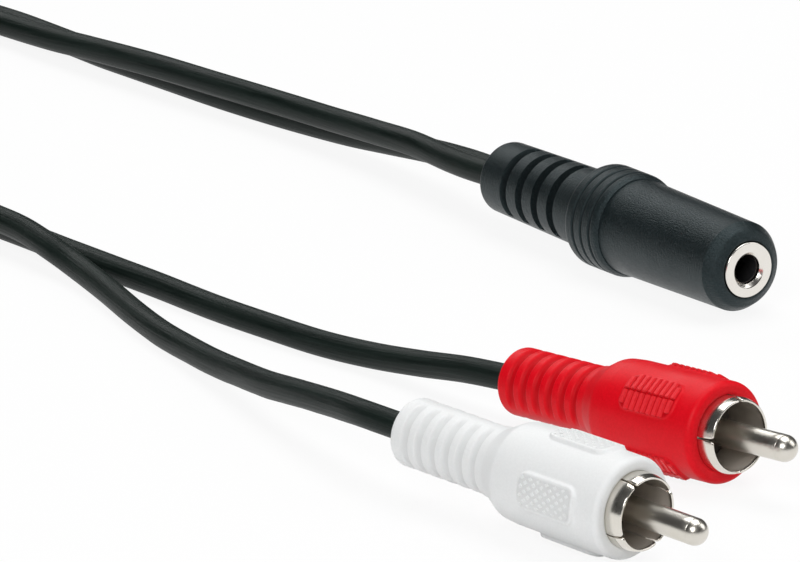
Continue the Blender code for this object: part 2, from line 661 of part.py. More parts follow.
def build_twin(socket_frame, material):
    """Lay the twin cord: from inside the socket to the coil, and from the coil to the split."""
    start = [socket_frame.matrix_world @ Vector((x, 0, 0))
             for x in (socket_jacket_end(), (socket_jacket_end() - SOCKET_L) / 2, -SOCKET_L)]
    turn = -math.degrees(SOCKET_ROLL + CORD_TURN_IN_SOCKET)
    route = [(*place, turn) for place in start] + in_millimetres(TWIN_ROUTE)
    points = smooth_points(route, CORD_STEP)
    tube("twin_cord", points, CORE_D / 2, material, CORE_D / 2, laid_tilts(points))
    points = smooth_points(in_millimetres(TAIL_ROUTE), CORD_STEP)
    tube("twin_tail", points, CORE_D / 2, material, CORE_D / 2, laid_tilts(points))


def build_lead(name, route, plug_frame, material):
    """Lay one split lead from the end of the twin into its plug."""
    end = [plug_frame.matrix_world @ Vector((-x, 0, 0))
           for x in (PLUG_L, (PLUG_L + PLUG_JACKET_END) / 2, PLUG_JACKET_END)]
    points = smooth_points(in_millimetres(route) + [tuple(place) for place in end], CORD_STEP)
    tube(name, points, CORE_D / 2, material)


def build_coil(materials):
    """Make the coil as one ring, and the band that ties it."""
    low = CORD_FLOOR_Z - CORE_D / 2 + TIE_T + GAP
    x, y = COIL_PLACE
    inner, outer = COIL_MEAN_R - COIL_W / 2, COIL_MEAN_R + COIL_W / 2
    edge = CORE_D / 2
    high = low + COIL_H
    outline = [(low, inner + edge), (low, outer - edge), (low + edge, outer), (high - edge, outer)]
    outline += [(high, outer - edge), (high, inner + edge), (high - edge, inner), (low + edge, inner)]
    ring = turned("cord_coil", outline, materials["black"], steps=COIL_STEPS)
    ring.rotation_euler = (0, -math.pi / 2, 0)
    ring.location = (x, y, 0)
    turn = Matrix.Rotation(TIE_ANGLE, 3, "Z")
    reach = GAP + TIE_T
    bm = bmesh.new()
    outside = box(bm, (inner - reach, -TIE_W / 2, low - reach),
                  (outer + reach, TIE_W / 2, low + COIL_H + reach))
    bmesh.ops.rotate(bm, verts=outside, cent=(0, 0, 0), matrix=turn)
    tie = mesh_object("coil_tie", bm, materials["tie"])
    bm = bmesh.new()
    inside = box(bm, (inner - GAP, -TIE_W, low - GAP), (outer + GAP, TIE_W, low + COIL_H + GAP))
    bmesh.ops.rotate(bm, verts=inside, cent=(0, 0, 0), matrix=turn)
    hole = mesh_object("tie_hole", bm, None)
    tie.location = hole.location = (x, y, 0)
    boolean(tie, hole, "DIFFERENCE")


def all_materials():
    """Return the materials by name."""
    return {
        "black": finish_material("black_moulding", (0.012, 0.015, 0.016), 0.55),
        "white": finish_material("white_moulding", (0.78, 0.80, 0.80), 0.42),
        "red": finish_material("red_moulding", (0.68, 0.008, 0.012), 0.4),
        "cord": finish_material("black_cord", (0.010, 0.014, 0.013), 0.42),
        "nickel": finish_material("nickel", (0.74, 0.71, 0.66), 0.12, 1.0),
        "spring": finish_material("spring_metal", (0.70, 0.66, 0.58), 0.25, 1.0),
        "copper": finish_material("copper", (0.72, 0.36, 0.20), 0.3, 1.0),
        "insulator": finish_material("plug_insulator", (0.03, 0.026, 0.022), 0.5),
        "ivory": finish_material("contact_carrier", (0.62, 0.58, 0.48), 0.5),
        "core": finish_material("core_insulation", (0.6, 0.6, 0.62), 0.45),
        "tie": finish_material("tie_band", (0.014, 0.014, 0.015), 0.4),
    }


def build():
    """Build the whole adapter cable."""
    clear_scene()
    materials = all_materials()
    socket_frame = build_socket(materials)
    frames = {place.name: build_plug(place, materials) for place in PLUGS}
    build_twin(socket_frame, materials["cord"])
    build_lead("white_lead", WHITE_ROUTE, frames["white"], materials["cord"])
    build_lead("red_lead", RED_ROUTE, frames["red"], materials["cord"])
    build_coil(materials)


build()
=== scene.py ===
"""The looks of the y-adapter cable: a jack socket, a twin cord, and a white and a red phono plug.

Lengths in the classes are millimetres and angles are degrees; meshes are built in metres.  Each
connector is shaped along its own X axis, with its mating face at x = 0, and then placed.
"""
from __future__ import annotations

import logging
import math
from dataclasses import dataclass, field
from enum import Enum
from typing import Callable, Iterable, Optional, Sequence

import bmesh
import bpy
import numpy as np
from mathutils import Euler, Matrix, Vector

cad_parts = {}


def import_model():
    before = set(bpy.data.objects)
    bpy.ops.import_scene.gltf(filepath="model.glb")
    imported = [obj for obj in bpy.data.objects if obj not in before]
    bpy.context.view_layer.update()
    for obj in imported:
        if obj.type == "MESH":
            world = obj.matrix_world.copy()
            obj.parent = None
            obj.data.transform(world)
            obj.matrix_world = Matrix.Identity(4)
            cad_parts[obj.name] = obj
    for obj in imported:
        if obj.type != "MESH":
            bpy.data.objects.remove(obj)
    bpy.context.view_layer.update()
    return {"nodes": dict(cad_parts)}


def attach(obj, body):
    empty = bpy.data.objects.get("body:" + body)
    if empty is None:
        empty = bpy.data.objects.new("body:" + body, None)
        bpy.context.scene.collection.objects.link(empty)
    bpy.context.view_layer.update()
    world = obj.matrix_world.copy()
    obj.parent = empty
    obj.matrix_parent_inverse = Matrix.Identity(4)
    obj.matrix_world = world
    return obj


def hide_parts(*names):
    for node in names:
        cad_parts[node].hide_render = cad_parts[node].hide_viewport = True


LOG = logging.getLogger("y_adapter_cable")
MM = 0.001
BODY = "root"

Corner = tuple[float, float, float]
Relief = Callable[[np.ndarray, np.ndarray], tuple[np.ndarray, np.ndarray]]


class PlugColour(Enum):
    """The two phono plugs, told apart by their colour."""

    WHITE = "white"
    RED = "red"


class MarkShape(Enum):
    """The two shapes of raised mark on the grip pads."""

    DIAMOND = "diamond"
    BRICK = "brick"


# Finishes


class NodeSheet:
    """A shader node tree, with short calls that add and join its nodes."""

    def __init__(self, tree: bpy.types.NodeTree) -> None:
        """Take up a tree."""
        self.tree = tree

    def add(self, kind: str, **values: object) -> bpy.types.Node:
        """Add a node.

        Args:
            kind: The node's type name without its ShaderNode prefix.
            values: Properties to set on the node.

        Returns:
            The new node.
        """
        node = self.tree.nodes.new("ShaderNode" + kind)
        for key, value in values.items():
            setattr(node, key, value)
        return node

    def link(self, source: bpy.types.NodeSocket, target: bpy.types.NodeSocket) -> None:
        """Join two sockets."""
        self.tree.links.new(source, target)

    def noise(self, vector: bpy.types.NodeSocket, scale: float, detail: float = 2.0,
              rough: float = 0.5) -> bpy.types.NodeSocket:
        """Add a noise texture.

        Args:
            vector: The coordinates that it reads.
            scale: Its scale.
            detail: Its number of octaves.
            rough: How strong the finer octaves are.

        Returns:
            Its factor output.
        """
        node = self.add("TexNoise")
        node.inputs["Scale"].default_value = scale
        node.inputs["Detail"].default_value = detail
        node.inputs["Roughness"].default_value = rough
        self.link(vector, node.inputs["Vector"])
        return node.outputs["Fac"]

    def ranged(self, value: bpy.types.NodeSocket, low: float, high: float, start: float = 0.3,
               end: float = 0.7) -> bpy.types.NodeSocket:
        """Map a value from start..end to low..high and return the result."""
        node = self.add("MapRange")
        for key, number in (("From Min", start), ("From Max", end), ("To Min", low), ("To Max", high)):
            node.inputs[key].default_value = number
        self.link(value, node.inputs["Value"])
        return node.outputs["Result"]

    def mixed(self, factor: bpy.types.NodeSocket, first: object, second: object) -> bpy.types.NodeSocket:
        """Mix two colours, each a socket or three numbers, by a factor and return the result."""
        node = self.add("Mix", data_type="RGBA")
        for socket, colour in ((node.inputs[6], first), (node.inputs[7], second)):
            if isinstance(colour, bpy.types.NodeSocket):
                self.link(colour, socket)
            else:
                socket.default_value = (*colour, 1.0)
        self.link(factor, node.inputs["Factor"])
        return node.outputs[2]

    def bump(self, height: bpy.types.NodeSocket, strength: float, distance: float,
             below: Optional[bpy.types.NodeSocket] = None) -> bpy.types.NodeSocket:
        """Add a bump, on top of another one if that is given, and return its normal."""
        node = self.add("Bump")
        node.inputs["Strength"].default_value = strength
        node.inputs["Distance"].default_value = distance
        self.link(height, node.inputs["Height"])
        if below is not None:
            self.link(below, node.inputs["Normal"])
        return node.outputs["Normal"]

    def direct_rays(self) -> bpy.types.NodeSocket:
        """Return 1 for rays from the camera, off glossy surfaces and through clear ones, else 0."""
        rays = self.add("LightPath").outputs
        total = rays["Is Camera Ray"]
        for label in ("Is Glossy Ray", "Is Transmission Ray"):
            either = self.add("Math", operation="ADD", use_clamp=True)
            self.link(total, either.inputs[0])
            self.link(rays[label], either.inputs[1])
            total = either.outputs[0]
        return total


class MaterialSheet(NodeSheet):
    """The node tree of a new material, which starts with a Principled shader and its output."""

    def __init__(self, name: str) -> None:
        """Start the material."""
        self.material = bpy.data.materials.new(name)
        self.material.use_nodes = True
        super().__init__(self.material.node_tree)
        self.shader = self.tree.nodes["Principled BSDF"]

    def fix(self, **values: object) -> None:
        """Set constants on the shader's own sockets, whose names have spaces for underscores."""
        for key, value in values.items():
            self.shader.inputs[key.replace("_", " ")].default_value = value


@dataclass(frozen=True)
class MouldedPolymer:
    """A moulded polymer with a fine spark-eroded grain and a faint mottle.

    The grain's size is in grains per metre.  The recess shade is painted shade: how much darker the
    colour is painted on a groove's floor, which is also duller by a share of it.
    """

    name: str
    slot: str
    dark: tuple[float, float, float]
    light: tuple[float, float, float]
    roughness: float
    grain: float
    grain_depth: float
    specular: float = 0.5
    subsurface: float = 0.0
    recess_shade: float = 0.3
    tint: tuple[float, float, float] = (1.0, 1.0, 1.0)

    def material(self) -> bpy.types.Material:
        """Return the finish as a material."""
        sheet = MaterialSheet(self.name)
        place = sheet.add("TexCoord").outputs["Object"]
        fine = sheet.noise(place, self.grain, 3.0, 0.65)
        broad = sheet.noise(place, 180.0, 2.0)
        depth = sheet.add("Attribute", attribute_name="recess").outputs["Fac"]
        # Painted shade: the colour darkens towards each groove's floor by how deep the place lies.
        deep = tuple(value * (1.0 - self.recess_shade) for value in self.dark)
        skin_colour = sheet.mixed(sheet.ranged(fine, 0.0, 1.0), self.dark, self.light)
        sheet.link(sheet.mixed(depth, skin_colour, deep), sheet.shader.inputs["Base Color"])
        dull = sheet.add("Math", operation="MULTIPLY_ADD", use_clamp=True)
        dull.inputs[1].default_value = self.recess_shade * 0.6
        sheet.link(depth, dull.inputs[0])
        sheet.link(sheet.ranged(broad, self.roughness - 0.05, self.roughness + 0.05), dull.inputs[2])
        sheet.link(dull.outputs[0], sheet.shader.inputs["Roughness"])
        skin = sheet.bump(broad, 0.06, 0.00004)
        sheet.link(sheet.bump(fine, 1.0, self.grain_depth, skin), sheet.shader.inputs["Normal"])
        sheet.fix(Specular_IOR_Level=self.specular, Specular_Tint=(*self.tint, 1.0),
                  Subsurface_Weight=self.subsurface, Subsurface_Radius=(0.0012, 0.0009, 0.0008))
        return sheet.material


@dataclass(frozen=True)
class PlatedMetal:
    """A plated metal, tarnished here and there, with a faintly uneven polish."""

    name: str
    slot: str
    colour: tuple[float, float, float]
    stained: tuple[float, float, float]
    roughness: float
    painted_hollow_tone: tuple[float, float, float] = (0.78, 0.72, 0.66)

    def material(self) -> bpy.types.Material:
        """Return the finish as a material."""
        sheet = MaterialSheet(self.name)
        place = sheet.add("TexCoord").outputs["Object"]
        patches = sheet.noise(place, 420.0, 3.0)
        streaks = sheet.noise(place, 2600.0, 2.0)
        inside = sheet.add("Attribute", attribute_name="recess").outputs["Fac"]
        plated = sheet.mixed(sheet.ranged(patches, 0.0, 1.0, 0.4, 0.75), self.colour, self.stained)
        # Painted light in hollows: where the recess attribute says so, the plating takes the painted
        # hollow tone and turns rougher; deeper in the socket's hole this is painted shade, inside the
        # plugs' contacts painted reflection, a different amount on each finger.
        sheet.link(sheet.mixed(inside, plated, self.painted_hollow_tone), sheet.shader.inputs["Base Color"])
        dull = sheet.add("Math", operation="MULTIPLY_ADD")
        dull.inputs[1].default_value = 0.55
        sheet.link(inside, dull.inputs[0])
        sheet.link(sheet.ranged(streaks, self.roughness * 0.95, self.roughness * 1.05), dull.inputs[2])
        sheet.link(dull.outputs[0], sheet.shader.inputs["Roughness"])
        sheet.fix(Metallic=1.0)
        return sheet.material


@dataclass(frozen=True)
class CordJacket:
    """An extruded jacket, with drawn lines along the cord.

    It reads the cord's own map: metres along it, and a share of the way round it.
    """

    name: str
    slot: str
    dark: tuple[float, float, float]
    light: tuple[float, float, float]
    roughness: float

    def material(self) -> bpy.types.Material:
        """Return the finish as a material."""
        sheet = MaterialSheet(self.name)
        own = sheet.add("UVMap", uv_map="along")
        drawn = sheet.add("Mapping")
        drawn.inputs["Scale"].default_value = (60.0, 26.0, 1.0)
        sheet.link(own.outputs["UV"], drawn.inputs["Vector"])
        lines = sheet.noise(drawn.outputs["Vector"], 1.0, 4.0, 0.6)
        place = sheet.add("TexCoord").outputs["Object"]
        skin = sheet.noise(place, 3400.0, 2.0)
        dents = sheet.noise(place, 240.0, 2.0)
        sheet.link(sheet.mixed(sheet.ranged(lines, 0.0, 1.0), self.dark, self.light),
                   sheet.shader.inputs["Base Color"])
        sheet.link(sheet.ranged(lines, self.roughness - 0.06, self.roughness + 0.1),
                   sheet.shader.inputs["Roughness"])
        base = sheet.bump(dents, 0.25, 0.00012)
        ridged = sheet.bump(lines, 0.8, 0.00014, base)
        sheet.link(sheet.bump(skin, 0.3, 0.00002, ridged), sheet.shader.inputs["Normal"])
        sheet.fix(Specular_IOR_Level=0.13)
        return sheet.material


# The recess shades (0.9, 0.11, 0.22, 0.25) are painted shade in grooves, slots and hollows.
BLACK_MOULDING = MouldedPolymer("black_moulding", "black_moulding", (0.001, 0.0025, 0.003),
                                (0.015, 0.023, 0.025), 0.36, 4400.0, 0.0001, 0.38, 0.0, 0.9,
                                (0.74, 0.95, 1.0))
WHITE_MOULDING = MouldedPolymer("white_moulding", "white_moulding", (0.82, 0.83, 0.83),
                                (0.86, 0.87, 0.87), 0.42, 3600.0, 0.000006, 0.25, 0.03, 0.11)
RED_MOULDING = MouldedPolymer("red_moulding", "red_moulding", (0.71, 0.001, 0.008),
                              (0.80, 0.004, 0.014), 0.45, 3600.0, 0.000012, 0.16, 0.04, 0.22)
# A lighter, pinker copy of the red moulding for the grip marks: painted sheen where the raised marks catch
# the light.
RED_GRIP_SHEEN = MouldedPolymer("red_grip", "red_moulding", (0.80, 0.022, 0.032),
                          (0.86, 0.04, 0.05), 0.42, 3600.0, 0.000012, 0.25, 0.04, 0.25)
CARRIER = MouldedPolymer("contact_carrier", "contact_carrier", (0.58, 0.54, 0.44), (0.66, 0.62, 0.52),
                         0.5, 3000.0, 0.00001)
PLUG_INSULATOR = MouldedPolymer("plug_insulator", "plug_insulator", (0.022, 0.017, 0.013),
                                (0.040, 0.032, 0.026), 0.45, 3000.0, 0.00001)
CORE_INSULATION = MouldedPolymer("core_insulation", "core_insulation", (0.55, 0.55, 0.57),
                                 (0.64, 0.64, 0.66), 0.45, 3000.0, 0.00001)
TIE_BAND = MouldedPolymer("tie_band", "tie_band", (0.012, 0.012, 0.013), (0.022, 0.022, 0.023),
                          0.38, 2600.0, 0.00001)
NICKEL = PlatedMetal("nickel", "nickel", (0.75, 0.72, 0.66), (0.71, 0.675, 0.61), 0.2)
PIN_NICKEL = PlatedMetal("pin_nickel", "nickel", (0.72, 0.69, 0.63), (0.67, 0.64, 0.57), 0.3)
SATIN_NICKEL = PlatedMetal("satin_nickel", "nickel", (0.82, 0.79, 0.74), (0.79, 0.755, 0.70), 0.22)
SPRING_METAL = PlatedMetal("spring_metal", "spring_metal", (0.70, 0.66, 0.58), (0.6, 0.55, 0.46), 0.22)
COPPER = PlatedMetal("copper", "copper", (0.72, 0.36, 0.20), (0.55, 0.27, 0.15), 0.3)
JACKET = CordJacket("cord_jacket", "black_cord", (0.003, 0.007, 0.0055), (0.016, 0.024, 0.021), 0.43)


class Finishes:
    """Every finish of the cable, each made once."""

    def __init__(self) -> None:
        """Make the materials."""
        kinds = (BLACK_MOULDING, WHITE_MOULDING, RED_MOULDING, RED_GRIP_SHEEN, CARRIER, PLUG_INSULATOR,
                 CORE_INSULATION, TIE_BAND, NICKEL, PIN_NICKEL, SATIN_NICKEL, SPRING_METAL, COPPER,
                 JACKET)
        self.slots = {kind.name: kind.slot for kind in kinds}
        self.materials = {kind.name: kind.material() for kind in kinds}

    def dress(self, item: bpy.types.Object, name: str) -> bpy.types.Object:
        """Give a piece a finish, and let it ride with the cable."""
        item.data.materials.clear()
        item.data.materials.append(self.materials[name])
        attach(item, BODY)
        return item

    def redress(self, node: bpy.types.Object, name: str) -> None:
        """Give a solid of the model, which stays as it is, a finish."""
        if not node.data.materials:
            node.data.materials.append(self.materials[name])
        for index in range(len(node.data.materials)):
            node.data.materials[index] = self.materials[name]


# Shapes


def eased(value: np.ndarray) -> np.ndarray:
    """Return a smooth step of a value from 0 to 1."""
    share = np.clip(value, 0.0, 1.0)
    return share * share * (3.0 - 2.0 * share)


def angle_from(phi: np.ndarray, centre: float) -> np.ndarray:
    """Return the absolute angle in degrees between each phi (radians) and a centre (degrees)."""
    return np.abs((np.degrees(phi) - centre + 180.0) % 360.0 - 180.0)


def filleted(corners: Sequence[Corner]) -> list[tuple[float, float]]:
    """Round the corners of an open outline.

    Args:
        corners: Points (x, radius, fillet radius) in millimetres.

    Returns:
        The outline's points, with an arc in place of each corner that has a fillet.
    """
    points = [corners[0][:2]]
    for before, here, after in zip(corners, corners[1:], corners[2:]):
        corner = Vector(here[:2])
        back, ahead = Vector(before[:2]) - corner, Vector(after[:2]) - corner
        angle = back.angle(ahead, math.pi)
        if here[2] <= 0.0 or angle > math.radians(178.0):
            points.append(here[:2])
            continue
        reach = min(here[2] / math.tan(angle / 2), back.length * 0.49, ahead.length * 0.49)
        radius = reach * math.tan(angle / 2)
        start, end = corner + back.normalized() * reach, corner + ahead.normalized() * reach
        inward = (back.normalized() + ahead.normalized()).normalized()
        centre = corner + inward * radius / math.sin(angle / 2)
        count = max(3, round(math.degrees(math.pi - angle) / 14.0))
        for i in range(count + 1):
            share = i / count
            ray = (start - centre).lerp(end - centre, share).normalized() * radius
            points.append(tuple(centre + ray))
    points.append(corners[-1][:2])
    return points


def spaced(points: Sequence[tuple[float, float]],
           step: Callable[[float], float]) -> list[tuple[float, float]]:
    """Split the long stretches of an outline so that its rows lie no further apart than a step."""
    rows = [points[0]]
    for (x0, r0), (x1, r1) in zip(points, points[1:]):
        length = math.hypot(x1 - x0, r1 - r0)
        travelled = 0.0
        while length - travelled > 1.4 * step(x0 + (x1 - x0) * travelled / length):
            travelled += step(x0 + (x1 - x0) * travelled / length)
            share = travelled / length
            rows.append((x0 + (x1 - x0) * share, r0 + (r1 - r0) * share))
        rows.append((x1, r1))
    return rows


def linked(name: str, data: bpy.types.ID) -> bpy.types.Object:
    """Return a new object of the scene that holds some data."""
    item = bpy.data.objects.new(name, data)
    bpy.context.scene.collection.objects.link(item)
    return item


def facing(place: Sequence[float], target: Sequence[float], axis: str = "-Z") -> Euler:
    """Return the rotation that turns an axis of something at a place towards a target."""
    return (Vector(target) - Vector(place)).to_track_quat(axis, "Y").to_euler()


def flat_sheet(name: str, size: tuple[float, float], finish: bpy.types.Material) -> bpy.types.Object:
    """Return a rectangle in metres, centred on the origin and facing up."""
    mesh = bpy.data.meshes.new(name)
    across, tall = size[0] / 2, size[1] / 2
    corners = [(-across, -tall, 0), (across, -tall, 0), (across, tall, 0), (-across, tall, 0)]
    mesh.from_pydata(corners, [], [(0, 1, 2, 3)])
    mesh.materials.append(finish)
    return linked(name, mesh)


def piece_from_bmesh(name: str, bm: bmesh.types.BMesh, place: Matrix,
                     crease: float = 180.0) -> bpy.types.Object:
    """Turn a bmesh in millimetres into a smooth placed piece.

    Args:
        name: The piece's name.
        bm: The shape, which is freed.
        place: The connector's placement, in metres.
        crease: The angle, in degrees, from which an edge stays sharp.

    Returns:
        The new object, which stands at the origin, with its faces turned outward.
    """
    bmesh.ops.remove_doubles(bm, verts=bm.verts, dist=1e-5)
    bmesh.ops.recalc_face_normals(bm, faces=bm.faces)
    bm.transform(place @ Matrix.Scale(MM, 4))
    mesh = bpy.data.meshes.new(name)
    bm.to_mesh(mesh)
    bm.free()
    mesh.shade_smooth()
    if crease < 180.0:
        mesh.set_sharp_from_angle(angle=math.radians(crease))
    return linked(name, mesh)


def grid_faces(bm: bmesh.types.BMesh, rows: np.ndarray, closed_rows: bool, closed_columns: bool,
               recess: Optional[np.ndarray] = None) -> None:
    """Add a grid of points (rows, columns, 3) and its faces to a bmesh.

    Args:
        bm: The bmesh that gets them.
        rows: The points.
        closed_rows: Whether the last row joins the first.
        closed_columns: Whether the last column joins the first.
        recess: How far into a groove each point lies, from 0 to 1, kept as an attribute that the finishes
            use for painted shade and painted reflection.
    """
    layers = bm.verts.layers.float
    layer = (layers.get("recess") or layers.new("recess")) if recess is not None else None
    verts = [[bm.verts.new(point) for point in row] for row in rows]
    if layer is not None:
        for vert, value in zip([vert for row in verts for vert in row], recess.flat):
            vert[layer] = float(value)
    row_count, column_count = len(verts), len(verts[0])
    for i in range(row_count if closed_rows else row_count - 1):
        upper, lower = verts[i], verts[(i + 1) % row_count]
        for j in range(column_count if closed_columns else column_count - 1):
            k = (j + 1) % column_count
            bm.faces.new((upper[j], upper[k], lower[k], lower[j]))


def turned(name: str, outer: Sequence[tuple[float, float]], inner: Sequence[tuple[float, float]],
           place: Matrix, columns: int = 96, outer_relief: Optional[Relief] = None,
           inner_relief: Optional[Relief] = None, crease: float = 180.0) -> bpy.types.Object:
    """Turn an outline about the X axis, with relief that may change round it.

    Args:
        name: The piece's name.
        outer: Points (x, radius) from the front to the rear, along the outside.
        inner: Points from the rear back to the front, along the inside; empty for a solid piece.
        place: The connector's placement.
        columns: The number of steps round the axis.
        outer_relief: What to add to the radius outside and how far into a groove it is, from 0 to
            1, by x and the angle in radians.
        inner_relief: The same inside.
        crease: The angle from which an edge stays sharp.

    Returns:
        The new object.
    """
    phi = np.linspace(0.0, 2.0 * math.pi, columns, endpoint=False)[None, :]
    parts, depths = [], []
    for points, relief in ((outer, outer_relief), (inner, inner_relief)):
        if not points:
            continue
        x = np.array([point[0] for point in points])[:, None]
        radius = np.array([point[1] for point in points])[:, None] + np.zeros_like(phi)
        change = recess = np.zeros_like(radius)
        if relief is not None:
            change, recess = relief(x + np.zeros_like(phi), phi + np.zeros_like(x))
        radius = radius + change
        depths.append(recess)
        across = (radius * np.cos(phi), radius * np.sin(phi))
        parts.append(np.stack((x + np.zeros_like(radius), *across), axis=-1))
    bm = bmesh.new()
    grid_faces(bm, np.concatenate(parts), bool(inner), True, np.concatenate(depths))
    return piece_from_bmesh(name, bm, place, crease)


@dataclass(frozen=True)
class Placement:
    """Where a connector lies: its front centre, heading, nose-up tilt and roll."""

    x: float
    y: float
    z: float
    heading: float = 0.0
    tilt: float = 0.0
    roll: float = 0.0

    def matrix(self) -> Matrix:
        """Return the placement in metres."""
        heading = Matrix.Rotation(math.radians(self.heading), 4, "Z")
        tilt = Matrix.Rotation(math.radians(-self.tilt), 4, "Y")
        roll = Matrix.Rotation(math.radians(self.roll), 4, "X")
        return Matrix.Translation((self.x * MM, self.y * MM, self.z * MM)) @ heading @ tilt @ roll

    def along(self, x: float) -> tuple[float, float, float]:
        """Return the place, in millimetres, of a point on the connector's axis."""
        return tuple(value / MM for value in self.matrix() @ Vector((x * MM, 0.0, 0.0)))


# Marks that repeat on the grip pads


GRIP_INPUTS = {"Columns": "Int", "Rows": "Int", "Pads": "Int", "Pitch": "Float",
               "Row Pitch": "Float", "Stagger": "Float", "Front": "Float", "Radius": "Float",
               "End Share": "Float", "Length": "Float"}
"""The node group's inputs, each named after a field of GripMarks, and their kinds."""


